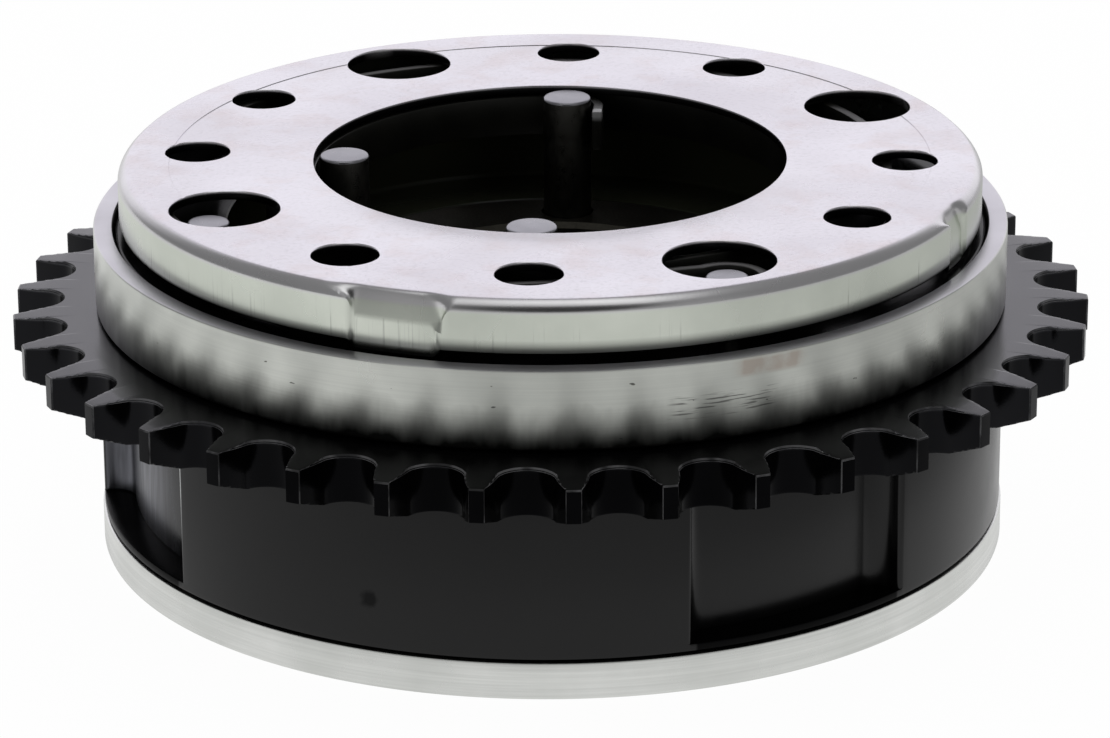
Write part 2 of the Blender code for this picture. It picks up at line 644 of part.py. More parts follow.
# Lock pin: drawn back into the vane, with the spring and the cap in front of it and its seat behind it
def lock_parts(hub, pin_finish, spring_finish):
    x, y = lock_place()
    place = (x, y, 0.0)
    foot = ROTOR_REAR
    shoulder = foot + LOCK_TIP_LENGTH
    top = foot + LOCK_PIN_LENGTH
    hollow = LOCK_PIN_RADIUS - LOCK_PIN_WALL
    hollow_floor = foot + LOCK_PIN_FLOOR
    mesh = bmesh.new()
    section = [
        (LOCK_TIP_RADIUS - PIN_END_ROUND / 2, foot),
        (LOCK_TIP_RADIUS, foot + PIN_END_ROUND / 2),
        (LOCK_TIP_RADIUS, shoulder),
        (LOCK_PIN_RADIUS, shoulder + LOCK_PIN_RADIUS - LOCK_TIP_RADIUS),
        (LOCK_PIN_RADIUS, top),
        (hollow, top),
        (hollow, hollow_floor),
    ]
    add_turned(mesh, section, SMALL_ROUND)
    piece("lock_pin", mesh, pin_finish, place, parent=hub)

    cap_top = VANE_TOP - RUNNING_GAP
    cap_foot = cap_top - LOCK_CAP_THICKNESS
    cap = bmesh.new()
    rim = LOCK_PIN_RADIUS
    section = [
        (LOCK_CAP_VENT_RADIUS, cap_foot),
        (rim, cap_foot),
        (rim, cap_top),
        (LOCK_CAP_VENT_RADIUS, cap_top),
    ]
    add_turned(cap, section, SMALL_ROUND, ring=True)
    piece("lock_cap", cap, pin_finish, place, parent=hub)

    seat = bmesh.new()
    inner = LOCK_TIP_RADIUS + RUNNING_GAP
    outer = inner + LOCK_SEAT_WALL
    section = [
        (inner, SCREW_HEAD_SINK),
        (outer, SCREW_HEAD_SINK),
        (outer, PLATE_THICKNESS),
        (inner, PLATE_THICKNESS),
    ]
    add_turned(seat, section, SMALL_ROUND, ring=True)
    piece("lock_seat", seat, pin_finish, place)

    wire = LOCK_SPRING_WIRE_RADIUS
    coil_radius = hollow - RUNNING_GAP - wire
    low = hollow_floor + SEAT_GAP + wire
    high = cap_foot - SEAT_GAP - wire
    steps = LOCK_SPRING_TURNS * 8
    curve = bpy.data.curves.new("lock_spring", "CURVE")
    curve.dimensions = "3D"
    curve.bevel_depth = wire
    curve.bevel_resolution = 1
    curve.use_fill_caps = True
    spline = curve.splines.new("POLY")
    spline.points.add(steps)
    for index, point in enumerate(spline.points):
        turn = 360 * LOCK_SPRING_TURNS * index / steps
        point.co = (*polar(coil_radius, turn, low + (high - low) * index / steps), 1)
    curve.materials.append(spring_finish)
    coil = bpy.data.objects.new("lock_spring", curve)
    coil.location = place
    coil.parent = hub
    bpy.context.scene.collection.objects.link(coil)


def assembly_screws(finish):
    """Countersunk screws with a hexagon socket, from the rear plate into the sprocket."""
    foot = SCREW_HEAD_SINK
    tip = SPROCKET_FOOT + SCREW_GRIP
    lead = SCREW_RADIUS / 4
    for number, (x, y) in enumerate(screw_places(), 1):
        mesh = bmesh.new()
        section = [
            (SCREW_HEAD_RADIUS, foot),
            (SCREW_RADIUS, foot + SCREW_HEAD_HEIGHT),
            (SCREW_RADIUS, tip - lead),
            (SCREW_RADIUS - lead, tip),
        ]
        add_turned(mesh, section, SMALL_ROUND)
        bmesh.ops.recalc_face_normals(mesh, faces=mesh.faces)
        head = min(mesh.faces, key=lambda face: face.calc_center_median().z)
        bmesh.ops.inset_individual(mesh, faces=[head], thickness=SOCKET_RADIUS / 2)
        for index, vertex in enumerate(head.verts):
            reach = SOCKET_RADIUS * (1 if index % 2 else math.cos(math.pi / 6))
            vertex.co.xy = vertex.co.xy.normalized() * reach
        socket = bmesh.ops.extrude_discrete_faces(mesh, faces=[head])["faces"][0]
        bmesh.ops.translate(mesh, verts=socket.verts, vec=(0, 0, SOCKET_DEPTH))
        piece(f"assembly_screw_{number}", mesh, finish, (x, y, 0.0))


def add_pin(name, place, radius, foot, top, finish, parent=None):
    mesh = bmesh.new()
    edge = PIN_END_ROUND
    section = [(radius, foot), (radius, top - edge), (radius - edge, top)]
    add_turned(mesh, section, HOLE_ROUND)
    piece(name, mesh, finish, (*place, 0.0), parent=parent)


def pins(hub, bright, dark):
    inner_foot = CAVITY_FLOOR - INNER_PIN_SEAT_DEPTH
    inner_top = COVER_TOP - INNER_PIN_BELOW_TOP
    for number, place in enumerate(inner_pin_places(), 1):
        add_pin(f"inner_spring_pin_{number}", place, INNER_PIN_RADIUS, inner_foot, inner_top, bright, hub)
    outer_foot = SHELF - OUTER_PIN_SEAT_DEPTH
    outer_top = COVER_UNDERSIDE - SEAT_GAP
    for number, place in enumerate(outer_pin_places(), 1):
        add_pin(f"outer_spring_pin_{number}", place, OUTER_PIN_RADIUS, outer_foot, outer_top, bright)
    mesh = bmesh.new()
    section = [(DOWEL_RADIUS, DOWEL_SINK), (DOWEL_RADIUS, SPROCKET_FOOT + DOWEL_GRIP)]
    add_turned(mesh, section, SMALL_ROUND)
    piece("plate_dowel", mesh, dark, (*dowel_place(), 0.0))


# Bias spring: hooked round one rotor pin, wound outwards, and hooked round one housing pin
def coil_radius_at(degrees, first_radius):
    """Radius of the strip's middle on its way out, smooth between the named places."""
    left = OUTER_PIN_CIRCLE_RADIUS + OUTER_PIN_RADIUS + SEAT_GAP + STRIP_THICKNESS / 2
    around_left_pin = OUTER_PIN_ANGLES[1] + 3 * 360
    angles = (INNER_PIN_ANGLES[1], *COIL_ANGLES, around_left_pin, LAST_COIL_ANGLE, HOOK_START_ANGLE)
    radii = (first_radius, *COIL_RADII, left, LAST_COIL_RADIUS, HOOK_START_RADIUS)
    if degrees <= angles[0]:
        return first_radius
    index = max(place for place, angle in enumerate(angles[:-1]) if angle <= degrees)
    span = angles[index + 1] - angles[index]
    share = (degrees - angles[index]) / span

    def slope(place):
        if place in (0, len(angles) - 1):
            return 0.0
        before = (radii[place] - radii[place - 1]) / (angles[place] - angles[place - 1])
        after = (radii[place + 1] - radii[place]) / (angles[place + 1] - angles[place])
        return 0.0 if before * after <= 0 else 2 * before * after / (before + after)

    rise = share * share * (3 - 2 * share)
    bend_in = share * (1 - share) ** 2 * span * slope(index)
    bend_out = share * share * (share - 1) * span * slope(index + 1)
    return radii[index] + (radii[index + 1] - radii[index]) * rise + bend_in + bend_out


def spring_path():
    clear = SEAT_GAP + STRIP_THICKNESS / 2
    pin = Vector(inner_pin_places()[0])
    wrap = INNER_PIN_RADIUS + clear
    outward = INNER_PIN_ANGLES[0]
    first_radius = INNER_PIN_CIRCLE_RADIUS + wrap
    beside = pin + Vector(polar(wrap, outward - 90))
    path = [tuple(beside - Vector(polar(INNER_HOOK_LENGTH, outward)))]
    path += [tuple(pin + Vector(polar(wrap, outward - bend))) for bend in (90, 67.5, 45, 22.5, 0)]
    turn = outward + COIL_STEP
    while turn < HOOK_START_ANGLE:
        path.append(polar(coil_radius_at(turn, first_radius), turn))
        turn += COIL_STEP
    held = Vector(outer_pin_places()[0])
    path.append(polar(HOOK_START_RADIUS, HOOK_START_ANGLE))
    bends = [OUTER_HOOK_FROM + (OUTER_HOOK_TO - OUTER_HOOK_FROM) * index / 5 for index in range(6)]
    path += [tuple(held + Vector(polar(OUTER_HOOK_RADIUS, bend))) for bend in bends]
    return path


def bias_spring(finish):
    mesh = bmesh.new()
    top = COVER_UNDERSIDE - SEAT_GAP
    add_strip(mesh, spring_path(), STRIP_THICKNESS, top - STRIP_WIDTH, top)
    piece("bias_spring", mesh, finish)


# Cover: raised skirt segments with a chamfered brow, and notches whose wall is set in and lower
def skirt_section(notch):
    """Outer and inner points from the top's edge down to the foot, between raised (0) and notch (1)."""
    corner = NOTCH_CORNER_RADIUS
    slant = corner * (1 - math.sin(math.pi / 4))
    raised_foot = COVER_FOOT + SKIRT_RAISE
    brow = SKIRT_RADIUS - COVER_TOP_RADIUS
    raised = [
        (COVER_TOP_RADIUS, COVER_TOP),
        (COVER_TOP_RADIUS + brow / 2, COVER_TOP - SKIRT_CHAMFER / 2),
        (SKIRT_RADIUS, COVER_TOP - SKIRT_CHAMFER),
        (SKIRT_RADIUS, raised_foot),
        (SKIRT_RADIUS - SHEET, raised_foot),
        (SKIRT_RADIUS - SHEET, COVER_UNDERSIDE - SHEET / 2),
        (SKIRT_RADIUS - SHEET - brow / 2, COVER_UNDERSIDE),
    ]
    set_in = [
        (NOTCH_RADIUS - corner, COVER_TOP),
        (NOTCH_RADIUS - slant, COVER_TOP - slant),
        (NOTCH_RADIUS, COVER_TOP - corner),
        (NOTCH_RADIUS, COVER_FOOT),
        (NOTCH_RADIUS - SHEET, COVER_FOOT),
        (NOTCH_RADIUS - SHEET, COVER_TOP - corner),
        (NOTCH_RADIUS - corner, COVER_UNDERSIDE),
    ]
    return [
        (high[0] + (low[0] - high[0]) * notch, high[1] + (low[1] - high[1]) * notch)
        for high, low in zip(raised, set_in)
    ]


def skirt_stations():
    """Angle and notch share of each section around the skirt."""
    stations = {}
    for centre, width in zip(NOTCH_CENTRES, NOTCH_WIDTHS):
        start, end = centre - width / 2, centre + width / 2
        stations.update({start: 0, start + NOTCH_STEP: 1, end - NOTCH_STEP: 1, end: 0})
        inside = start + NOTCH_STEP + (width - 2 * NOTCH_STEP) / 2
        stations[inside] = 1
    notches = list(zip(NOTCH_CENTRES, NOTCH_WIDTHS))
    plain = 360 / LARGE_ROUND
    for number in range(LARGE_ROUND):
        angle = -180 + number * plain
        if all(abs(angle - centre) > (width + plain) / 2 for centre, width in notches):
            stations[angle] = 0
    return sorted(stations.items())


def tone_wheel_cover(finish):
    mesh = bmesh.new()
    loops = []
    for angle, notch in skirt_stations():
        rim = [(CENTRE_HOLE_RADIUS, COVER_UNDERSIDE), (CENTRE_HOLE_RADIUS, COVER_TOP)]
        section = rim + skirt_section(notch)
        loops.append([mesh.verts.new(polar(radius, angle, height)) for radius, height in section])
    for index, loop in enumerate(loops):
        before = loops[index - 1]
        for step in range(len(loop)):
            mesh.faces.new([before[step - 1], before[step], loop[step], loop[step - 1]])
    cover = piece("tone_wheel_cover", mesh, finish)

    holes = bmesh.new()
    foot, top = COVER_UNDERSIDE - OVERRUN, COVER_TOP + OVERRUN
    for number in range(HOLE_COUNT):
        place = polar(HOLE_CIRCLE_RADIUS, FIRST_HOLE_ANGLE + number * 360 / HOLE_COUNT)
        large = number % LARGE_HOLE_EVERY == 0
        radius = LARGE_HOLE_RADIUS if large else SMALL_HOLE_RADIUS
        add_turned(holes, [(radius, foot), (radius, top)], HOLE_ROUND + 4 if large else HOLE_ROUND, place)
    cut(cover, "cover_hole_cutter", holes)


def main():
    for old in list(bpy.data.objects):
        bpy.data.objects.remove(old, do_unlink=True)
    pressed_steel = material("pressed_steel", (0.68, 0.67, 0.68), 0.32)
    ground_steel = material("ground_steel", (0.74, 0.74, 0.73), 0.20)
    black_iron = material("black_iron", (0.035, 0.036, 0.040), 0.42)
    sintered_iron = material("sintered_iron", (0.30, 0.29, 0.27), 0.50)
    spring_steel = material("spring_steel", (0.16, 0.15, 0.14), 0.38)
    seal_polymer = material("seal_polymer", (0.08, 0.07, 0.06), 0.55, metallic=0.0)
    rear_plate(ground_steel)
    stator(black_iron)
    sprocket(black_iron)
    seal_ring(ground_steel)
    hub = rotor(sintered_iron)
    vane_seals(hub, seal_polymer, spring_steel)
    lock_parts(hub, ground_steel, spring_steel)
    assembly_screws(spring_steel)
    pins(hub, ground_steel, spring_steel)
    bias_spring(spring_steel)
    tone_wheel_cover(pressed_steel)


main()
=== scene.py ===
import math

import bpy
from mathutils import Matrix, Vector


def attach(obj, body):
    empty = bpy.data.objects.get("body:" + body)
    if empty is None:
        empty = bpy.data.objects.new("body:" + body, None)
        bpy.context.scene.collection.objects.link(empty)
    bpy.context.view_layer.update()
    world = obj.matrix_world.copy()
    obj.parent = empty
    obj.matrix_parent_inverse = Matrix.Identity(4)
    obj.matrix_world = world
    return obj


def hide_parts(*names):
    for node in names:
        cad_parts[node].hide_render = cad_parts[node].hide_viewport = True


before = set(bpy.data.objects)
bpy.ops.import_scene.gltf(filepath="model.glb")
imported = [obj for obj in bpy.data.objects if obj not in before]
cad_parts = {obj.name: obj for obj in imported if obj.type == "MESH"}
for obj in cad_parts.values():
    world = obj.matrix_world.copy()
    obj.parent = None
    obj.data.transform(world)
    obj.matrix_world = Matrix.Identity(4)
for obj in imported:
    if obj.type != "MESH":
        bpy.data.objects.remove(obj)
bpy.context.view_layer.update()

# The phaser is seen from a little above, standing on a white table before a white background.
# The camera's place and lens were fitted to the teeth and the rims in the photograph.
bpy.ops.object.camera_add(location=(0, -0.537645, 0.219203))
camera = bpy.context.active_object
camera.name = "photograph_view"
camera.rotation_euler = (math.radians(69.484), math.radians(0.3156), math.radians(-0.1624))
camera.data.lens = 165.18
camera.data.sensor_width = 36
camera.data.clip_start = 0.01
bpy.context.scene.camera = camera
bpy.context.scene.view_settings.view_transform = "Standard"


def add(tree, kind, inputs=(), **settings):
    """Adds a shader node, sets it up, and gives its inputs a value or a link."""
    made = tree.nodes.new("ShaderNode" + kind)
    for setting, value in settings.items():
        setattr(made, setting, value)
    for name, value in dict(inputs).items():
        if isinstance(value, bpy.types.NodeSocket):
            tree.links.new(value, made.inputs[name])
        else:
            made.inputs[name].default_value = value
    return made


# A white sheet hangs behind the phaser and one soft lamp hangs high in front of it. The rest of the
# studio is grey, a little paler low in front, and black just under the lamp, which draws the dark
# line in the cover's brow.
studio = bpy.data.worlds.new("grey_studio")
bpy.context.scene.world = studio
studio.use_nodes = True
tree = studio.node_tree
tree.nodes.clear()
direction = add(tree, "TexCoord").outputs["Generated"]


def facing(spot, low, high):
    """How far the direction lies within a soft-edged round patch of the studio, from 0 to 1."""
    near = add(tree, "VectorMath", {0: direction, 1: spot}, operation="DOT_PRODUCT").outputs["Value"]
    edge = {"Value": near, "From Min": low, "From Max": high}
    return add(tree, "MapRange", edge, interpolation_type="SMOOTHSTEP").outputs[0]


tone = (0.21, 0.21, 0.212, 1)
for spot, low, high, patch in (
    ((0, 0.93, 0.37), 0.60, 0.86, (0.95, 0.93, 0.98, 1)),
    ((0, -0.35, 0.93), 0.86, 0.95, (1.0, 1.0, 1.0, 1)),
    ((0, -0.95, 0.30), 0.55, 0.80, (0.32, 0.32, 0.32, 1)),
    ((0, -0.80, 0.60), 0.87, 0.95, (0.02, 0.02, 0.02, 1)),
):
    share = facing(spot, low, high)
    tone = add(tree, "MixRGB", {0: share, 1: tone, 2: patch}).outputs[0]
path = add(tree, "LightPath")
seen = add(tree, "MixRGB", {0: path.outputs["Is Camera Ray"], 1: tone, 2: (1, 1, 1, 1)})
glow = add(tree, "Background", {0: seen.outputs[0], 1: 1.0})
add(tree, "OutputWorld", {0: glow.outputs[0]})

# The table's top is white to the camera and keeps a faint shadow. To glossy and transmission rays it glows
# with painted light, paler near the phaser and on the left and darker on the right.
bpy.ops.object.select_all(action="DESELECT")
bpy.ops.mesh.primitive_plane_add(size=6)
table_top = bpy.context.active_object
table_top.name = "white_table"
table_finish = bpy.data.materials.new("white_table")
table_finish.use_nodes = True
tree = table_finish.node_tree
tree.nodes.clear()
own = add(tree, "BsdfDiffuse", {"Color": (0.60, 0.60, 0.59, 1)})
place = add(tree, "TexCoord").outputs["Object"]
away = add(tree, "VectorMath", {0: place}, operation="LENGTH").outputs["Value"]
bearing = add(tree, "VectorMath", {0: place}, operation="NORMALIZE").outputs[0]
bearing = add(tree, "SeparateXYZ", {0: bearing})
side_tone = add(
    tree, "MapRange",
    {"Value": bearing.outputs["X"], "From Min": -0.6, "From Max": 0.6, "To Min": 0.72, "To Max": 0.48},
)
far_tone = add(
    tree, "MapRange",
    {"Value": bearing.outputs["Y"], "From Min": -1.0, "From Max": -0.5, "To Min": 0.60,
     "To Max": side_tone.outputs[0]},
)
near_share = add(
    tree, "MapRange", {"Value": away, "From Min": 0.07, "From Max": 0.125, "To Min": 1.0, "To Max": 0.0},
    interpolation_type="SMOOTHSTEP",
)
# Painted light: near the phaser the floor's glow in metal rises to 0.74, whatever shadow falls there.
painted_floor_glow = add(
    tree, "MapRange",
    {"Value": near_share.outputs[0], "To Min": far_tone.outputs[0], "To Max": 0.74},
)
path = add(tree, "LightPath")
strength = add(
    tree, "MapRange",
    {"Value": path.outputs["Is Camera Ray"], "To Min": painted_floor_glow.outputs[0], "To Max": 0.97},
)
lit = add(tree, "Emission", {"Color": (1, 1, 1, 1), "Strength": strength.outputs[0]})
kept = add(tree, "BsdfDiffuse", {"Color": (0.06, 0.06, 0.06, 1)})
white = add(tree, "AddShader", {0: lit.outputs[0], 1: kept.outputs[0]})
straight = add(
    tree, "Math", {0: path.outputs["Is Camera Ray"], 1: path.outputs["Is Glossy Ray"]}, operation="MAXIMUM"
)
straight = add(
    tree, "Math", {0: straight.outputs[0], 1: path.outputs["Is Transmission Ray"]}, operation="MAXIMUM"
)
shown = add(tree, "MixShader", {0: straight.outputs[0], 1: own.outputs[0], 2: white.outputs[0]})
add(tree, "OutputMaterial", {0: shown.outputs[0]})
table_top.data.materials.append(table_finish)


# Rear plate: a steel disc, turned and ground, with a bore for the camshaft's nose in the middle.
# Four countersunk screws come through it from behind, beside the seat for the lock pin.
def turned(name, section, steps=240, centre=(0, 0)):
    """Turns a closed section of (radius, height) points about an upright axis, as on a lathe."""
    bpy.ops.object.select_all(action="DESELECT")
    bpy.ops.mesh.primitive_circle_add(vertices=len(section), radius=0.01)
    shaped = bpy.context.active_object
    shaped.name = name
    for vertex, (radius, height) in zip(shaped.data.vertices, section):
        vertex.co = (centre[0] + radius, centre[1], height)
    bpy.ops.object.mode_set(mode="EDIT")
    bpy.ops.mesh.select_all(action="SELECT")
    bpy.ops.mesh.spin(steps=steps, angle=math.tau, center=(*centre, 0), axis=(0, 0, 1))
    bpy.ops.mesh.select_all(action="SELECT")
    bpy.ops.mesh.remove_doubles(threshold=1e-6)
    bpy.ops.mesh.normals_make_consistent(inside=False)
    bpy.ops.object.mode_set(mode="OBJECT")
    return shaped


def joined(pieces):
    """Several pieces as one mesh."""
    bpy.ops.object.select_all(action="DESELECT")
    for one in pieces:
        one.select_set(True)
    bpy.context.view_layer.objects.active = pieces[0]
    bpy.ops.object.join()
    return pieces[0]


def hole(name, radius, foot, height, place, steps=48):
    """A plain round cutter that stands upright at a place."""
    return turned(name, [(0, foot), (radius, foot), (radius, height), (0, height)], steps, place)


def cut(target, cutter):
    """Takes a cutter out of a piece and clears the cutter away."""
    boolean = target.modifiers.new("cut", "BOOLEAN")
    boolean.operation = "DIFFERENCE"
    boolean.object = cutter
    bpy.context.view_layer.objects.active = target
    bpy.ops.object.modifier_apply(modifier="cut")
    bpy.data.objects.remove(cutter, do_unlink=True)


def finished(piece, finish, body, nodes, angle=30):
    """Smooths a piece, gives it its finish and puts it in place of the nodes that it stands for."""
    bpy.ops.object.select_all(action="DESELECT")
    piece.select_set(True)
    bpy.context.view_layer.objects.active = piece
    bpy.ops.object.shade_smooth_by_angle(angle=math.radians(angle))
    piece.data.materials.clear()
    piece.data.materials.append(finish)
    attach(piece, body)
    if nodes:
        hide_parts(*nodes)


def polar(radius, degrees):
    turn = math.radians(degrees)
    return radius * math.cos(turn), radius * math.sin(turn)


def times(tree, first, second):
    return add(tree, "Math", {0: first, 1: second}, operation="MULTIPLY").outputs[0]


def whereabouts(tree):
    """A point's X, Y and height, its place on the flat, and its distance from the upright axis."""
    axes = add(tree, "SeparateXYZ", {0: add(tree, "TexCoord").outputs["Object"]}).outputs
    flat = add(tree, "CombineXYZ", {0: axes[0], 1: axes[1]}).outputs[0]
    radius = add(tree, "VectorMath", {0: flat}, operation="LENGTH").outputs["Value"]
    return axes, flat, radius


def lathe_marks(tree, spacing, length):
    """A pattern of fine lines that run round the axis on flat faces and on walls."""
    axes, _, radius = whereabouts(tree)
    across, up = times(tree, radius, 1 / spacing), times(tree, axes[2], 1 / spacing)
    lines = add(tree, "CombineXYZ", {0: across, 1: up, 2: times(tree, axes[0], 1 / length)})
    return add(tree, "TexNoise", {"Vector": lines.outputs[0], "Scale": 1.0, "Detail": 3.0}).outputs["Fac"]


def streaks(tree, spacing, length, turn=(0, 0, 0)):
    """A pattern of fine straight lines along the turned Z axis."""
    place = add(tree, "TexCoord").outputs["Object"]
    lay = add(
        tree, "Mapping",
        {"Vector": place, "Rotation": turn, "Scale": (1 / spacing, 1 / spacing, 1 / length)},
    )
    return add(tree, "TexNoise", {"Vector": lay.outputs[0], "Scale": 1.0, "Detail": 2.0}).outputs["Fac"]


def clouds(tree, size, detail=4.0):
    place = add(tree, "TexCoord").outputs["Object"]
    return add(tree, "TexNoise", {"Vector": place, "Scale": 1 / size, "Detail": detail}).outputs["Fac"]


def ramp(tree, value, low, high, from_tone, to_tone):
    """Runs from one tone to another between two values of a pattern."""
    stops = add(tree, "ValToRGB", {0: value})
    stops.color_ramp.elements[0].position = low
    stops.color_ramp.elements[0].color = (*from_tone, 1)
    stops.color_ramp.elements[1].position = high
    stops.color_ramp.elements[1].color = (*to_tone, 1)
    return stops.outputs[0]


def blend(tree, share, first, second, kind="MIX"):
    return add(tree, "MixRGB", {0: share, 1: first, 2: second}, blend_type=kind).outputs[0]


def span(tree, value, low, high, start, end):
    """A pattern's value brought from one range to another."""
    inputs = {"Value": value, "From Min": low, "From Max": high, "To Min": start, "To Max": end}
    return add(tree, "MapRange", inputs).outputs[0]


def metal(name, metallic=1.0):
    made = bpy.data.materials.new(name)
    made.use_nodes = True
    shader = made.node_tree.nodes["Principled BSDF"]
    shader.inputs["Metallic"].default_value = metallic
    return made, made.node_tree, shader


def set_grain(tree, shader, height, depth, strength=0.5):
    bump = add(tree, "Bump", {"Height": height, "Strength": strength, "Distance": depth})
    tree.links.new(bump.outputs[0], shader.inputs["Normal"])


def ground_finish(name, dull, bright, spacing, rough):
    """Steel with fine round grinding lines and a few dull clouds."""
    made, tree, shader = metal(name)
    lines = lathe_marks(tree, spacing, 0.02)
    cloud = clouds(tree, 0.012)
    tone = ramp(tree, cloud, 0.35, 0.7, dull, bright)
    shade = ramp(tree, lines, 0.3, 0.7, (0.88, 0.88, 0.88), (1, 1, 1))
    tone = blend(tree, 1.0, tone, shade, "MULTIPLY")
    tree.links.new(tone, shader.inputs["Base Color"])
    tree.links.new(span(tree, cloud, 0.3, 0.7, rough + 0.06, rough), shader.inputs["Roughness"])
    set_grain(tree, shader, lines, 0.00002)
    return made


plate_bright = ground_finish("ground_plate_steel", (0.76, 0.775, 0.745), (0.88, 0.89, 0.865), 0.0003, 0.24)
plate_section = [
    (0.0180, 0.0004), (0.0184, 0), (0.0504, 0), (0.0507, 0.0001), (0.0508, 0.0004),
    (0.0508, 0.0040), (0.05075, 0.00415), (0.0506, 0.0042), (0.0184, 0.0042), (0.0180, 0.0038),
]
rear_plate = turned("turned_rear_plate", plate_section)
screw_radius, screw_bore = (0.0310 + 0.0473) / 2, 0.0028
screw_angles = (-57.9, 28.4, 114.8, 201.15)
dowel_place, dowel_bore = polar(0.0420, 124.8), 0.0018
plate_holes = []
for number, angle in enumerate(screw_angles):
    countersink = [
        (0, -0.001), (0.0049, -0.001), (0.0049, 0.0003), (screw_bore, 0.0027), (screw_bore, 0.006),
        (0, 0.006),
    ]
    plate_holes.append(turned(f"countersink_{number}", countersink, 48, polar(screw_radius, angle)))
lock_place = polar((0.0310 + 0.0455) / 2, 234.2)
plate_holes.append(hole("seat_bore", 0.0052, -0.001, 0.006, lock_place))
plate_holes.append(hole("dowel_bore", dowel_bore, 0.0005, 0.006, dowel_place, 32))
cut(rear_plate, joined(plate_holes))
finished(rear_plate, plate_bright, "housing", ["rear_plate"])

# Stator: a black iron ring whose four lands stand out between recesses, on a thin round flange.
# Four chambers for the rotor's vanes are cut inside it, and a screw passes through each lobe.
def black_finish(name, rough, shine, grain_lines=None):
    """Black oxide on iron: near black, slightly cloudy, with a fine sandy grain."""
    made, tree, shader = metal(name, metallic=0.0)
    cloud = clouds(tree, 0.006, 6.0)
    grit = clouds(tree, 0.00035, 3.0)
    tone = ramp(tree, cloud, 0.35, 0.75, (0.0015, 0.0015, 0.0017), (0.004, 0.004, 0.0045))
    tree.links.new(tone, shader.inputs["Base Color"])
    tree.links.new(span(tree, cloud, 0.3, 0.7, rough, rough + 0.07), shader.inputs["Roughness"])
    shader.inputs["Specular IOR Level"].default_value = shine
    height = grit
    if grain_lines:
        lines = grain_lines(tree)
        height = add(tree, "Math", {0: lines, 1: grit}, operation="ADD").outputs[0]
    set_grain(tree, shader, height, 0.00001, 0.3)
    return made


def upward(tree):
    """The upright share of the direction that the surface faces."""
    return add(tree, "SeparateXYZ", {0: add(tree, "NewGeometry").outputs["True Normal"]}).outputs[2]


def larger(tree, first, second):
    return add(tree, "Math", {0: first, 1: second}, operation="MAXIMUM").outputs[0]


def near_spot(tree, flat, spot, inner, outer):
    """One close to an upright line through the spot and nought away from it."""
    off = add(tree, "VectorMath", {0: flat, 1: (*spot, 0)}, operation="DISTANCE").outputs["Value"]
    return span(tree, off, inner, outer, 1.0, 0.0)


recess_centres, recess_widths = screw_angles, (30.6, 31.7, 31.7, 32.9)
crest_radius, flange_top = 0.05070, 0.0053
black_land = black_finish("black_stator_iron", 0.20, 0.34, lambda tree: streaks(tree, 0.00035, 0.02))
tree = black_land.node_tree
shader = tree.nodes["Principled BSDF"]
axes, flat, radius = whereabouts(tree)
height = axes[2]
on_flange = span(tree, height, 0.0054, 0.0058, 1.0, 0.0)
on_ledge = times(tree, span(tree, upward(tree), 0.4, 0.6, 0.0, 1.0), on_flange)
low_down = span(tree, height, flange_top, 0.0054, 1.0, 0.0)
for middle, width in zip(recess_centres, recess_widths):
    reach = 2 * crest_radius * math.sin(math.radians(width / 4))
    at_recess = near_spot(tree, flat, polar(crest_radius, middle), reach - 0.0006, reach - 0.0003)
    on_ledge = larger(tree, on_ledge, times(tree, at_recess, low_down))
left_recess, left_edge = (-0.0474, -0.0118), (-0.0399, -0.03095)
# Painted sheen: the wall of the left recess alone is drawn as bare bluish metal with scuff lines, which
# lightens it.
recess_sheen_mask = near_spot(tree, flat, left_recess, 0.0065, 0.0150)
recess_sheen_mask = times(tree, recess_sheen_mask, span(tree, radius, 0.05045, 0.0503, 0.0, 1.0))
recess_sheen_mask = times(tree, recess_sheen_mask, span(tree, height, 0.0054, 0.0056, 0.0, 1.0))
# Painted highlight: a thin line of bright bare metal on the left land's edge, from 9 to 16 mm high.
painted_edge_highlight = near_spot(tree, flat, left_edge, 0.0003, 0.0005)
painted_edge_highlight = times(tree, painted_edge_highlight, span(tree, height, 0.009, 0.016, 0.0, 1.0))
scuffs = ramp(tree, streaks(tree, 0.0009, 0.008), 0.35, 0.68, (0.55, 0.55, 0.55), (1, 1, 1))
bare = blend(tree, 1.0, (0.21, 0.214, 0.24, 1), scuffs, "MULTIPLY")
black = shader.inputs["Base Color"].links[0].from_socket
tone = blend(tree, recess_sheen_mask, black, bare)
tree.links.new(blend(tree, painted_edge_highlight, tone, (0.55, 0.56, 0.56, 1)), shader.inputs["Base Color"])
tree.links.new(larger(tree, recess_sheen_mask, painted_edge_highlight), shader.inputs["Metallic"])
smooth = shader.inputs["Roughness"].links[0].from_socket
rough = add(tree, "MapRange", {"Value": recess_sheen_mask, "To Min": smooth, "To Max": 0.36}).outputs[0]
tree.links.new(rough, shader.inputs["Roughness"])
oil_mark = (-0.01928, -0.04678, 0.0099)
place = add(tree, "TexCoord").outputs["Object"]
from_mark = add(tree, "VectorMath", {0: place, 1: oil_mark}, operation="DISTANCE").outputs["Value"]
wavy = times(tree, clouds(tree, 0.0012), 0.0016)
from_mark = add(tree, "Math", {0: from_mark, 1: wavy}, operation="ADD").outputs[0]
dull = add(tree, "MapRange", {"Value": on_ledge, "To Min": 0.34, "To Max": 0.06}).outputs[0]
dull = times(tree, dull, span(tree, from_mark, 0.0014, 0.0020, 0.45, 1.0))
tree.links.new(dull, shader.inputs["Specular IOR Level"])
land_ends = []
for number in range(4):
    start = recess_centres[number] + recess_widths[number] / 2
    end = recess_centres[(number + 1) % 4] - recess_widths[(number + 1) % 4] / 2
    land_ends.append((start, end if end > start else end + 360))


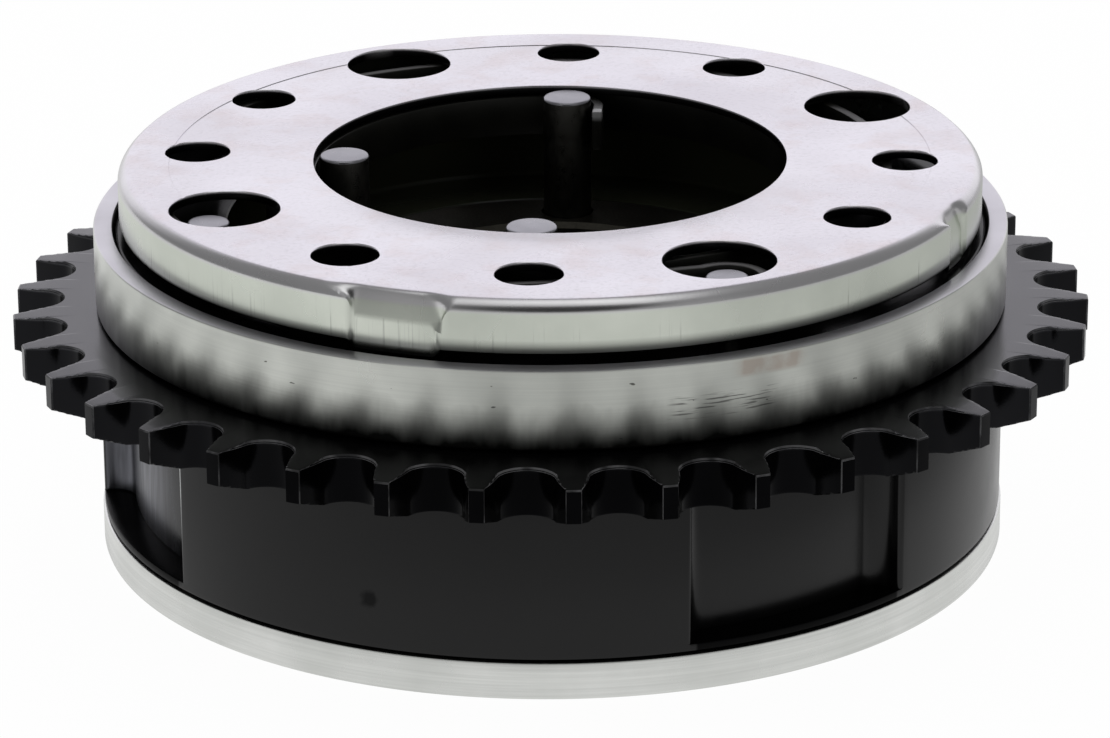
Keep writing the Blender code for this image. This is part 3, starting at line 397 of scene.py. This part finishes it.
def land_outline(crest, root, brow, fillet):
    """Arcs at the lands' crest and the recesses' root, joined by a wide fillet and a small brow."""
    outline = []
    for (start, end), (following, _) in zip(land_ends, land_ends[1:] + land_ends[:1]):
        following = following if following > end else following + 360
        crest_inset = math.degrees(brow / (crest - brow))
        root_inset = math.degrees(fillet / (root + fillet))
        bends = [math.radians(9 * step) for step in range(11)]
        rise = [(root + fillet * (1 - math.cos(b)), -root_inset * (1 - math.sin(b))) for b in bends]
        rise += [(crest - brow * (1 - math.sin(b)), crest_inset * (1 - math.cos(b))) for b in bends]
        outline += [polar(radius, start + shift) for radius, shift in rise]
        steps = 64
        inner = (start + crest_inset, end - crest_inset)
        outline += [
            polar(crest, inner[0] + (inner[1] - inner[0]) * step / steps) for step in range(1, steps)
        ]
        outline += [polar(radius, end - shift) for radius, shift in rise[::-1]]
        steps = 32
        inner = (end + root_inset, following - root_inset)
        outline += [
            polar(root, inner[0] + (inner[1] - inner[0]) * step / steps) for step in range(1, steps)
        ]
    return outline


def stacked(name, loops):
    """Builds a wall from closed loops of points, each loop extruded from the one before."""
    bpy.ops.object.select_all(action="DESELECT")
    count = len(loops[0])
    bpy.ops.mesh.primitive_circle_add(vertices=count, radius=0.01)
    shaped = bpy.context.active_object
    shaped.name = name
    bpy.ops.object.mode_set(mode="EDIT")
    bpy.ops.mesh.select_all(action="SELECT")
    for _ in loops[1:]:
        bpy.ops.mesh.extrude_edges_move(TRANSFORM_OT_translate={"value": (0, 0, 0.001)})
    bpy.ops.object.mode_set(mode="OBJECT")
    for index, vertex in enumerate(shaped.data.vertices):
        vertex.co = loops[index // count][index % count]
    return shaped


def capped(shaped, last=True):
    """Closes both ends of a stacked wall, or joins its last loop to its first."""
    bpy.ops.object.mode_set(mode="EDIT")
    bpy.ops.mesh.select_all(action="DESELECT")
    bpy.ops.mesh.select_non_manifold()
    if last:
        bpy.ops.mesh.fill_holes(sides=0)
    else:
        bpy.ops.mesh.bridge_edge_loops()
    bpy.ops.mesh.select_all(action="SELECT")
    bpy.ops.mesh.normals_make_consistent(inside=False)
    bpy.ops.object.mode_set(mode="OBJECT")
    return shaped


def at(outline, height):
    return [(x, y, height) for x, y in outline]


def resized(outline, reach):
    """The same points, moved in or out along the radius."""
    return [tuple(Vector(point) + Vector(point).normalized() * reach) for point in outline]


outline = land_outline(crest_radius, 0.0473, 0.0006, 0.0024)
flange = [tuple(Vector(point).normalized() * crest_radius) for point in outline]
on_land = [Vector(point).length > 0.0506 for point in outline]


def ledge(inset, height):
    """A loop of the flange that is drawn in between the lands and runs straight into them."""
    points = zip(on_land, resized(flange, -0.0001), resized(flange, -inset))
    return at([land if standing else low for standing, land, low in points], height)


stator_loops = [
    at(resized(flange, -0.0002), 0.0045),
    at(resized(flange, -0.00012), 0.00454),
    at(resized(flange, -0.0001), 0.0047),
    ledge(0.0001, 0.0051),
    ledge(0.00015, 0.00526),
    ledge(0.0003, flange_top),
    at(resized(outline, -0.0001), flange_top),
    at(resized(outline, -0.0001), 0.0218),
    at(resized(outline, -0.00016), 0.02198),
    at(resized(outline, -0.0003), 0.02205),
]
stator = capped(stacked("chambered_stator", stator_loops))
chamber_radius = 0.0455
end_wall = math.degrees(0.0024 / chamber_radius)
chamber_ends = [(start + end_wall, end - end_wall) for start, end in land_ends]


def lobed(spans, outer, inner):
    """Arcs at the outer radius over the spans and at the inner radius between them."""
    outline = []
    for (start, end), (following, _) in zip(spans, spans[1:] + spans[:1]):
        following = following if following > end else following + 360
        outline += [polar(outer, start + (end - start) * step / 40) for step in range(41)]
        outline += [polar(inner, end + (following - end) * step / 24) for step in range(25)]
    return outline


chamber_outline = lobed(chamber_ends, chamber_radius, 0.0313)
cut(stator, capped(stacked("chambers", [at(chamber_outline, 0.003), at(chamber_outline, 0.024)])))
stator_holes = []
for number, angle in enumerate(screw_angles):
    screw_place = polar(screw_radius, angle)
    stator_holes.append(hole(f"screw_bore_{number}", screw_bore, 0.003, 0.024, screw_place))
stator_holes.append(hole("stator_dowel_bore", dowel_bore, 0.003, 0.024, dowel_place, 32))
cut(stator, joined(stator_holes))
finished(stator, black_land, "housing", ["stator"])

# Rotor: a sintered iron hub with four vanes, bored for the central bolt's head.
# Its seals, their leaf springs and the lock pin with its spring and cap sit in the vanes.
def plain_finish(name, low, high, rough, grain, metallic=1.0):
    """A finish with a cloudy tone and a fine grain, for the parts inside."""
    made, tree, shader = metal(name, metallic)
    tree.links.new(ramp(tree, clouds(tree, 0.004), 0.3, 0.7, low, high), shader.inputs["Base Color"])
    speckle = clouds(tree, grain, 3.0)
    tree.links.new(span(tree, speckle, 0.3, 0.7, rough - 0.06, rough + 0.08), shader.inputs["Roughness"])
    set_grain(tree, shader, speckle, 0.00003, 0.4)
    return made


# The rotor's iron is drawn far darker than plain sintered iron: partly its own dark tone, partly painted
# shade for the cavity under the cover.
sintered = plain_finish("rotor_iron_darkened_by_shade", (0.035, 0.033, 0.027), (0.06, 0.057, 0.048), 0.5, 0.0003)
dark_steel = plain_finish("dark_screw_steel", (0.10, 0.10, 0.095), (0.17, 0.165, 0.16), 0.4, 0.0002)
bright_steel = ground_finish("bright_pin_steel", (0.62, 0.62, 0.61), (0.74, 0.74, 0.73), 0.0002, 0.2)
polymer = plain_finish("seal_polymer", (0.06, 0.05, 0.045), (0.09, 0.08, 0.07), 0.55, 0.0002, 0.0)
inner_finishes = {
    "rotor": sintered, "lock_cap": bright_steel, "lock_pin": bright_steel, "lock_seat": bright_steel,
    "lock_spring": dark_steel, "plate_dowel": dark_steel,
}
for number in range(1, 5):
    inner_finishes[f"vane_seal_{number}"] = polymer
    inner_finishes[f"seal_spring_{number}"] = dark_steel
    inner_finishes[f"assembly_screw_{number}"] = dark_steel
for node, finish in inner_finishes.items():
    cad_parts[node].material_slots[0].material = finish

# Sprocket: black iron, one piece with the housing's front wall and the boss that holds the spring.
# Its 38 teeth are hobbed for a 3/8 inch roller chain and chamfered on both sides.
tooth_pitch = 360 / 38
pitch_radius = 0.009525 / (2 * math.sin(math.pi / 38))
seat = 0.003175 + 0.00006
foot_x = pitch_radius - seat * math.cos(math.radians(62))
foot_y = seat * math.sin(math.radians(62))
tip_radius, half_tip = 0.0600007, 0.716
tip_x, tip_y = polar(tip_radius, tooth_pitch / 2 - half_tip)
gap_side = []
for step in range(1, 8):
    share = step / 8
    crown = 0.00012 * math.sin(math.pi * share)
    gap_side.append((tip_x + (foot_x - tip_x) * share, tip_y + (foot_y - tip_y) * share - crown))
for step in range(9):
    bend = math.radians(62 * (1 - step / 8))
    gap_side.append((pitch_radius - seat * math.cos(bend), seat * math.sin(bend)))
tooth_half = [(math.hypot(x, y), tooth_pitch / 2 - math.degrees(math.atan2(y, x))) for x, y in gap_side]
tip_half = [(tip_radius, half_tip * step / 4) for step in range(5)]
one_side = tip_half + tooth_half
whole = [(radius, -angle) for radius, angle in one_side[:0:-1]] + one_side[:-1]
tooth_points = []
for number in range(38):
    centre = -87.89 + number * tooth_pitch
    tooth_points += [(radius, centre + angle) for radius, angle in whole]


def tooth_loop(height, limit, inset):
    """The teeth's outline drawn in by an inset, and cut off where the turned chamfer passes."""
    points = [Vector(polar(radius, angle)) for radius, angle in tooth_points]
    loop = []
    for index, point in enumerate(points):
        ahead = points[(index + 1) % len(points)] - points[index - 1]
        inward = Vector((-ahead.y, ahead.x)).normalized()
        moved = point + inward * inset
        if moved.length > limit:
            moved = moved.normalized() * limit
        loop.append((moved.x, moved.y, height))
    return loop


def round_loop(radius, height):
    return [(*polar(radius, angle), height) for _, angle in tooth_points]


foot, tooth_top = 0.02235, 0.02765
sprocket_loops = [
    round_loop(0.0273, foot), round_loop(0.0400, foot), round_loop(0.0530, foot),
    tooth_loop(foot, 0.0563, 0.00015), tooth_loop(foot + 0.00005, 0.05645, 0.00004),
    tooth_loop(foot + 0.00015, 0.0567, 0),
]
for step in range(1, 6):
    sprocket_loops.append(tooth_loop(foot + 0.0013 * step / 5, 0.0563 + 0.0037 * step / 5, 0))
sprocket_loops += [
    tooth_loop(foot + 0.0016, tip_radius, 0), tooth_loop(tooth_top - 0.0005, tip_radius, 0),
    tooth_loop(tooth_top - 0.00036, 0.05990, 0), tooth_loop(tooth_top - 0.0003, 0.0594, 0.00003),
    tooth_loop(tooth_top - 0.0002, 0.05815, 0.00004), tooth_loop(tooth_top - 0.0001, 0.0572, 0.00008),
    tooth_loop(tooth_top, 0.0563, 0.00014), round_loop(0.0530, tooth_top),
    round_loop(0.0490, tooth_top), round_loop(0.0485, tooth_top + 0.0001),
    round_loop(0.0484, tooth_top + 0.0003), round_loop(0.0484, 0.0358), round_loop(0.0483, 0.0360),
    round_loop(0.0481, 0.0361), round_loop(0.0363, 0.0361), round_loop(0.03605, 0.0360),
    round_loop(0.0360, 0.0358), round_loop(0.0360, 0.0296), round_loop(0.0358, 0.0292),
    round_loop(0.0354, 0.0291), round_loop(0.0275, 0.0291), round_loop(0.0273, 0.0289),
]
sprocket = capped(stacked("toothed_sprocket", sprocket_loops), last=False)
sprocket_holes = []
for number, angle in enumerate(screw_angles):
    screw_place = polar(screw_radius, angle)
    sprocket_holes.append(hole(f"thread_bore_{number}", screw_bore, 0.02, 0.02885, screw_place))
sprocket_holes.append(hole("front_dowel_bore", dowel_bore, 0.02, 0.02665, dowel_place, 32))
outer_pin_places = (polar(0.0410, -63.3), polar(0.0410, -154.0))
for number, pin_place in enumerate(outer_pin_places):
    bore = [(0, 0.0313), (0.0026, 0.0313), (0.0026, 0.0362), (0.0029, 0.038), (0, 0.038)]
    sprocket_holes.append(turned(f"pin_bore_{number}", bore, 48, pin_place))
cut(sprocket, joined(sprocket_holes))
black_turned = black_finish("black_sprocket_iron", 0.13, 0.75, lambda tree: lathe_marks(tree, 0.00025, 0.03))
tree = black_turned.node_tree
shader = tree.nodes["Principled BSDF"]
axes, _, radius = whereabouts(tree)
# Painted shade: the face's reflection is turned down on the front side; the teeth's top face reflects more
# than the gap walls and the boss.
shine = span(tree, axes[1], -0.052, -0.030, 0.15, 0.75)
shine = times(tree, shine, span(tree, axes[2], 0.0271, 0.0274, 0.25, 1.0))
shine = times(tree, shine, span(tree, axes[2], 0.0282, 0.0286, 1.0, 0.15))
tree.links.new(shine, shader.inputs["Specular IOR Level"])
# Wear and painted highlight: the teeth's chamfers and tip corners are drawn lighter grey in patches.
facing_up = upward(tree)
rounded_edge = span(tree, facing_up, 0.25, 0.32, 0.0, 1.0)
rounded_edge = times(tree, rounded_edge, span(tree, facing_up, 0.90, 0.95, 1.0, 0.0))
tip_corner = span(tree, radius, 0.05978, 0.05983, 0.0, 1.0)
tip_corner = times(tree, tip_corner, span(tree, radius, 0.05996, 0.05998, 1.0, 0.0))
patchy = span(tree, clouds(tree, 0.003, 3.0), 0.42, 0.58, 0.25, 1.0)
patchy = times(tree, patchy, span(tree, radius, 0.0530, 0.0535, 0.0, 1.0))
wear_and_edge_highlight = times(tree, larger(tree, rounded_edge, tip_corner), patchy)
black = shader.inputs["Base Color"].links[0].from_socket
inside = span(tree, radius, 0.0362, 0.0365, 1.0, 0.0)
inside = times(tree, inside, span(tree, axes[2], 0.0285, 0.0295, 0.0, 1.0))
black = blend(tree, inside, black, (0.050, 0.054, 0.033, 1))
tree.links.new(blend(tree, wear_and_edge_highlight, black, (0.22, 0.22, 0.225, 1)), shader.inputs["Base Color"])
shader.inputs["Specular Tint"].default_value = (0.90, 0.91, 1.0, 1)
finished(sprocket, black_turned, "housing", ["sprocket"], 25)

# Seal ring: a ground steel ring round the boss. Its wall is bright above and darkened by painted shade
# towards its foot, with small nicks and faint scratches round it, and its flat top shows the lathe's marks.
ring_section = [
    (0.0487, 0.0281), (0.0489, 0.02795), (0.0503, 0.02795), (0.0506, 0.02799), (0.05074, 0.0281),
    (0.0508, 0.0283), (0.0508, 0.0364), (0.05078, 0.03656), (0.05070, 0.03666),
    (0.0505, 0.0367), (0.0488, 0.0367), (0.04873, 0.03666), (0.0487, 0.0366),
]
seal_ring = turned("ground_seal_ring", ring_section, 300)
ring_bright, tree, shader = metal("ground_ring_steel")
axes, _, radius = whereabouts(tree)
height = axes[2]
turn = add(tree, "Math", {0: axes[1], 1: axes[0]}, operation="ARCTAN2").outputs[0]


def round_spots(length, width, detail=2.0):
    """A pattern of spots drawn out round the axis."""
    along, up = times(tree, turn, 0.0508 / length), times(tree, height, 1 / width)
    spot = add(tree, "CombineXYZ", {0: along, 1: up}).outputs[0]
    return add(tree, "TexNoise", {"Vector": spot, "Scale": 1.0, "Detail": detail}).outputs["Fac"]


def window(tree, value, low, high, soft):
    """One between two values of a pattern, and nought outside them, with soft edges."""
    rising = span(tree, value, low - soft, low, 0.0, 1.0)
    return times(tree, rising, span(tree, value, high, high + soft, 1.0, 0.0))


def sector(tree, turn, first, last, soft):
    """One between two angles about the axis, in degrees, and nought outside them."""
    return window(tree, turn, math.radians(first), math.radians(last), math.radians(soft))


lines = lathe_marks(tree, 0.00022, 0.02)
cloud = clouds(tree, 0.012)
wall_tone = ramp(tree, cloud, 0.35, 0.7, (0.68, 0.70, 0.655), (0.83, 0.85, 0.795))
turning = ramp(tree, lines, 0.3, 0.7, (0.93, 0.93, 0.93), (1, 1, 1))
wall_tone = blend(tree, 1.0, wall_tone, turning, "MULTIPLY")
# Painted shade: the wall darkens to near black towards its foot, below a ragged edge.
ragged_shade_edge = times(tree, round_spots(0.0030, 0.008, 3.0), 0.0034)
above = add(tree, "Math", {0: height, 1: ragged_shade_edge}, operation="SUBTRACT").outputs[0]
painted_foot_shade = ramp(tree, span(tree, above, 0.0264, 0.0312, 0.0, 1.0), 0.0, 1.0, (0.03, 0.03, 0.03), (1, 1, 1))
wall_tone = blend(tree, 1.0, wall_tone, painted_foot_shade, "MULTIPLY")
nick = ramp(tree, round_spots(0.0016, 0.0006), 0.755, 0.77, (1, 1, 1), (0.25, 0.25, 0.24))
wall_tone = blend(tree, 1.0, wall_tone, nick, "MULTIPLY")
dragged = times(tree, sector(tree, turn, -75, -64, 1.7), window(tree, height, 0.0309, 0.0330, 0.0004))
dragged = times(tree, dragged, span(tree, round_spots(0.0040, 0.00022), 0.56, 0.62, 0.0, 0.75))
wall_tone = blend(tree, dragged, wall_tone, (0.10, 0.10, 0.095, 1))
stained = times(tree, sector(tree, turn, -67, -60, 1.7), window(tree, height, 0.0349, 0.0362, 0.0005))
stained = times(tree, stained, span(tree, clouds(tree, 0.003), 0.4, 0.6, 0.15, 0.7))
wall_tone = blend(tree, stained, wall_tone, (0.50, 0.42, 0.36, 1))
top_tone = ramp(tree, cloud, 0.35, 0.7, (0.55, 0.54, 0.575), (0.66, 0.65, 0.69))
on_top = span(tree, height, 0.03660, 0.03669, 0.0, 1.0)
tone = blend(tree, on_top, wall_tone, top_tone)
# Painted shade: the ring's inner wall, in the gap under the cover's skirt, is drawn near black.
tone = blend(tree, span(tree, radius, 0.04872, 0.0488, 1.0, 0.0), tone, (0.012, 0.012, 0.012, 1))
tree.links.new(tone, shader.inputs["Base Color"])
tree.links.new(span(tree, cloud, 0.3, 0.7, 0.34, 0.27), shader.inputs["Roughness"])
shader.inputs["Anisotropic"].default_value = 0.85
shader.inputs["Anisotropic Rotation"].default_value = 0.25
around = add(tree, "Tangent", direction_type="RADIAL", axis="Z")
tree.links.new(around.outputs[0], shader.inputs["Tangent"])
set_grain(tree, shader, lines, 0.00001, 0.3)
finished(seal_ring, ring_bright, "housing", ["seal_ring"])

# Spring pins: steel, with painted shade darkening the sides and a lighter tone on the rounded front end,
# which faces up.
# Three are pressed into the rotor and two into the boss.
pin_steel, tree, shader = metal("pin_steel_with_shaded_sides")
# Painted light and shade: faces that look up take the lighter end tone, the sides the dark one.
on_end = span(tree, upward(tree), 0.1, 0.3, 0.0, 1.0)
end_tone = ramp(tree, clouds(tree, 0.002), 0.3, 0.7, (0.31, 0.31, 0.335), (0.37, 0.37, 0.40))
side_tone = ramp(tree, clouds(tree, 0.004), 0.3, 0.7, (0.10, 0.098, 0.088), (0.14, 0.137, 0.125))
tree.links.new(blend(tree, on_end, side_tone, end_tone), shader.inputs["Base Color"])
tree.links.new(span(tree, clouds(tree, 0.001), 0.3, 0.7, 0.26, 0.36), shader.inputs["Roughness"])
set_grain(tree, shader, lathe_marks(tree, 0.0002, 0.004), 0.000005, 0.3)


def pin_section(radius, foot, top):
    return [
        (0, foot), (radius - 0.0003, foot), (radius, foot + 0.0003), (radius, top - 0.00032),
        (radius - 0.00004, top - 0.00018), (radius - 0.00013, top - 0.00007),
        (radius - 0.00026, top - 0.00002), (radius - 0.0004, top), (0, top),
    ]


for number, angle in enumerate((85.0, 175.0, 265.0), 1):
    section = pin_section(0.00275, 0.0244, 0.04297)
    pin = turned(f"rotor_pin_{number}", section, 64, polar(0.0230, angle))
    finished(pin, pin_steel, "rotor_body", [f"inner_spring_pin_{number}"])
for number, pin_place in enumerate(outer_pin_places, 1):
    pin = turned(f"housing_pin_{number}", pin_section(0.0023, 0.0316, 0.0420), 64, pin_place)
    finished(pin, pin_steel, "housing", [f"outer_spring_pin_{number}"])

# Bias spring: tempered steel strip on edge, hooked round a rotor pin, wound outwards in two and a
# half turns, and hooked round a pin in the boss. A painted highlight lies on its top near the inner hook.
coil_places = (
    (175.0, 0.026625), (297.0, 0.0272), (385.0, 0.0284), (433.0, 0.0292), (657.0, 0.0336), (688.0, 0.0355),
    (720.0, 0.0374), (750.0, 0.0392), (835.0, 0.0412), (926.0, 0.044175), (986.0, 0.0384), (1008.0, 0.0363),
)


def coil_radius(turn):
    """The strip's radius between the places above, with no overshoot."""
    if turn <= coil_places[0][0]:
        return coil_places[0][1]
    index = max(place for place in range(len(coil_places) - 1) if coil_places[place][0] <= turn)
    (start, first), (end, second) = coil_places[index], coil_places[index + 1]
    reach = end - start
    share = (turn - start) / reach

    def slope(place):
        if place in (0, len(coil_places) - 1):
            return 0.0
        (a, low), (b, here), (c, high) = coil_places[place - 1:place + 2]
        before, after = (here - low) / (b - a), (high - here) / (c - b)
        return 0.0 if before * after <= 0 else 2 * before * after / (before + after)

    rise = share * share * (3 - 2 * share)
    bend_in = share * (1 - share) ** 2 * reach * slope(index)
    bend_out = share * share * (share - 1) * reach * slope(index + 1)
    return first + (second - first) * rise + bend_in + bend_out


hook_pin = Vector(polar(0.0230, 85.0))
strip_path = [tuple(hook_pin + Vector(polar(0.003625, -5)) - Vector(polar(0.0026, 85)))]
strip_path += [tuple(hook_pin + Vector(polar(0.003625, -5 + 9 * step))) for step in range(11)]
strip_path += [polar(coil_radius(88 + 3 * step), 88 + 3 * step) for step in range(307)]
held_pin = Vector(outer_pin_places[0])
strip_path += [tuple(held_pin + Vector(polar(0.0040, 130 - 122 * step / 16))) for step in range(17)]
bpy.ops.object.select_all(action="DESELECT")
bpy.ops.mesh.primitive_grid_add(x_subdivisions=len(strip_path) - 1, y_subdivisions=1, size=0.01)
bias_spring = bpy.context.active_object
bias_spring.name = "wound_bias_spring"
for index, vertex in enumerate(bias_spring.data.vertices):
    height = 0.0374 if index < len(strip_path) else 0.0420
    vertex.co = (*strip_path[index % len(strip_path)], height)
wall = bias_spring.modifiers.new("wall", "SOLIDIFY")
wall.thickness = 0.00115
wall.offset = 0
edge = bias_spring.modifiers.new("edge", "BEVEL")
edge.width = 0.00018
edge.segments = 2
edge.limit_method = "ANGLE"
edge.angle_limit = math.radians(50)
bpy.ops.object.modifier_apply(modifier="wall")
bpy.ops.object.modifier_apply(modifier="edge")
spring_dark, tree, shader = metal("tempered_spring_steel", 0.35)
cloud = clouds(tree, 0.005)
axes, flat, _ = whereabouts(tree)
# Painted highlight: the top of the strip near its inner hook is drawn light grey.
painted_end_highlight = near_spot(tree, flat, (0.0054, 0.0200), 0.0010, 0.0014)
painted_end_highlight = times(tree, painted_end_highlight, span(tree, axes[2], 0.0408, 0.0414, 0.0, 1.0))
tone = ramp(tree, cloud, 0.3, 0.7, (0.010, 0.010, 0.008), (0.018, 0.018, 0.014))
tree.links.new(blend(tree, painted_end_highlight, tone, (0.40, 0.40, 0.40, 1)), shader.inputs["Base Color"])
tree.links.new(span(tree, cloud, 0.3, 0.7, 0.3, 0.42), shader.inputs["Roughness"])
set_grain(tree, shader, clouds(tree, 0.0003, 3.0), 0.00002)
finished(bias_spring, spring_dark, "housing", ["bias_spring"], 40)

# Cover: a cup pressed from steel sheet, whose skirt is the tone wheel that a sensor reads.
# Two notches step in and lower the skirt, and twelve punched holes stand round the centre hole.
top, underside = 0.0433, 0.0423
raised = [
    (0.0439, top), (0.0450, top), (0.0460, top), (0.0466, top), (0.0468, top - 0.00003),
    (0.04700, top - 0.00011), (0.04733, top - 0.00040), (0.04755, top - 0.00063),
    (0.04768, top - 0.00080), (0.04778, top - 0.00097), (0.04785, top - 0.00113),
    (0.04789, top - 0.0013), (0.0479, top - 0.0015), (0.0479, 0.0394), (0.0479, 0.0379),
    (0.04785, 0.0376), (0.0477, 0.0374), (0.0474, 0.0373), (0.0470, 0.0374), (0.0469, 0.0411),
    (0.0468, 0.0417), (0.0464, 0.0422), (0.0439, underside),
]
set_in = [
    (0.0439, top), (0.0450, top), (0.0456, top), (0.0460, top - 0.00003), (0.0463, top - 0.00012),
    (0.04655, top - 0.00032), (0.04672, top - 0.00060), (0.04683, top - 0.00090),
    (0.04695, top - 0.00130), (0.04708, top - 0.00180), (0.04720, top - 0.00230),
    (0.04732, top - 0.00280), (0.04742, top - 0.00325), (0.04746, 0.0397), (0.04746, 0.0370),
    (0.04742, 0.0367), (0.0473, 0.0365), (0.0470, 0.0364), (0.0466, 0.0365), (0.0465, 0.0404),
    (0.0462, 0.0413), (0.0458, 0.0420), (0.0439, underside),
]
middle = [
    (0.0350, underside), (0.02635, underside), (0.0262, underside + 0.00012), (0.0262, top - 0.00022),
    (0.02626, top - 0.00007), (0.02642, top), (0.0350, top), (0.0418, top), (0.04222, top - 0.00007),
    (0.04225, top),
]
notches = ((-115.8, -103.3, 0.8, 1.5), (-25.8, -20.2, 1.4, 0.8))


def closer(angle):
    """Brings the lines of the mesh closer together near the ends of the notches."""
    for end in [notch[side] for notch in notches for side in (0, 1)]:
        off = angle - end
        if abs(off) < 3:
            share = abs(off) / 3
            return end + off * (0.35 + 0.65 * share * share * (3 - 2 * share))
    return angle


def notch_share(angle, place):
    """How far this point of the section is set in: the step is crisp in the wall and soft above."""
    soft = max(0.0, 1 - max(0, place - 2) / 9)
    soft = soft * soft * (3 - 2 * soft)
    lean = 1.1 * min(1.0, max(0.0, (top - 0.0012 - raised[place][1]) / 0.0020))
    share = 0.0
    for start, end, start_ramp, end_ramp in notches:
        beginning = start - 2.4 * soft
        ending = end - (lean + 0.8 * soft if end_ramp > 1 else 0)
        first = 0.5 + (angle - beginning) / (start_ramp + 7.0 * soft)
        last = 0.5 + (ending - angle) / (end_ramp + 4.2 * soft)
        first, last = [max(0.0, min(1.0, side)) for side in (first, last)]
        first, last = [side * side * (3 - 2 * side) for side in (first, last)]
        share = max(share, first * last)
    return share


cover = turned("pressed_tone_wheel_cover", middle + raised, 1440)
for vertex in cover.data.vertices:
    radius, height = math.hypot(vertex.co.x, vertex.co.y), vertex.co.z
    angle = closer(math.degrees(math.atan2(vertex.co.y, vertex.co.x)))
    wanted = (radius, height)
    if radius > 0.0438:
        off = [math.hypot(point[0] - radius, point[1] - height) for point in raised]
        place = off.index(min(off))
        share = notch_share(angle, min(place, 15))
        wanted = [high + (low - high) * share for high, low in zip(raised[place], set_in[place])]
    vertex.co = (*polar(wanted[0], angle), wanted[1])
punches = []
for number in range(12):
    size = 0.0060 if number % 3 == 0 else 0.0036
    punch = [
        (0, 0.0405), (size, 0.0405), (size, top - 0.0002), (size + 0.00004, top - 0.00008),
        (size + 0.00014, top), (size + 0.0002, top + 0.001), (0, top + 0.001),
    ]
    punches.append(turned(f"punch_{number}", punch, 72, polar(0.0393, -63.3 + 30 * number)))
cut(cover, joined(punches))
sheet_steel, tree, shader = metal("pressed_sheet_steel")
axes, _, radius = whereabouts(tree)
turn = add(tree, "Math", {0: axes[1], 1: axes[0]}, operation="ARCTAN2").outputs[0]
on_top = span(tree, axes[2], 0.0430, 0.04325, 0.0, 1.0)
cloud = clouds(tree, 0.016, 5.0)
stain = clouds(tree, 0.005, 6.0)
rolled = streaks(tree, 0.0005, 0.004, (0, math.radians(90), 0))
top_tone = ramp(tree, cloud, 0.35, 0.65, (0.77, 0.75, 0.79), (0.84, 0.825, 0.87))
stain_tone = ramp(tree, stain, 0.30, 0.5, (0.95, 0.91, 0.89), (1, 1, 1))
top_tone = blend(tree, 1.0, top_tone, stain_tone, "MULTIPLY")
rolled_tone = ramp(tree, rolled, 0.25, 0.5, (0.91, 0.91, 0.91), (1, 1, 1))
top_tone = blend(tree, 1.0, top_tone, rolled_tone, "MULTIPLY")
wall_tone = ramp(tree, cloud, 0.35, 0.65, (0.70, 0.74, 0.66), (0.84, 0.88, 0.79))
marks = ramp(tree, streaks(tree, 0.0003, 0.02), 0.30, 0.42, (0.72, 0.72, 0.72), (1, 1, 1))
low_down = span(tree, axes[2], 0.0395, 0.0405, 1.0, 0.15)
marked = times(tree, low_down, span(tree, clouds(tree, 0.008), 0.45, 0.6, 0.0, 1.0))
wall_tone = blend(tree, marked, wall_tone, marks, "MULTIPLY")
brow_tone = ramp(tree, cloud, 0.35, 0.65, (0.74, 0.735, 0.745), (0.82, 0.815, 0.825))
wall_tone = blend(tree, span(tree, axes[2], 0.0417, 0.0421, 0.0, 1.0), wall_tone, brow_tone)
lit_from = span(tree, axes[0], -0.040, -0.015, 0.0380, 0.0390)
shaded = span(tree, axes[2], 0.0373, lit_from, 0.06, 1.0)
for first, last in ((-115.2, -104.2), (-25.2, -20.6)):
    notch_foot = span(tree, axes[2], 0.0362, 0.0368, 0.2, 1.0)
    shaded = blend(tree, sector(tree, turn, first, last, 0.4), shaded, notch_foot)
wall_tone = blend(tree, 1.0, wall_tone, shaded, "MULTIPLY")
# Painted shade: inside 45 mm from the axis, the punched holes' walls and the underside are drawn near black.
outside = span(tree, radius, 0.0450, 0.0456, 0.04, 1.0)
wall_tone = blend(tree, 1.0, wall_tone, outside, "MULTIPLY")
tree.links.new(blend(tree, on_top, wall_tone, top_tone), shader.inputs["Base Color"])
first_scratch = streaks(tree, 0.0002, 0.012, (math.radians(90), 0, math.radians(35)))
second_scratch = streaks(tree, 0.00025, 0.009, (math.radians(90), 0, math.radians(-50)))
scratch = add(tree, "Math", {0: first_scratch, 1: second_scratch}, operation="ADD").outputs[0]
tree.links.new(span(tree, cloud, 0.3, 0.7, 0.30, 0.22), shader.inputs["Roughness"])
set_grain(tree, shader, scratch, 0.00001, 0.3)
finished(cover, sheet_steel, "housing", ["tone_wheel_cover"], 25)
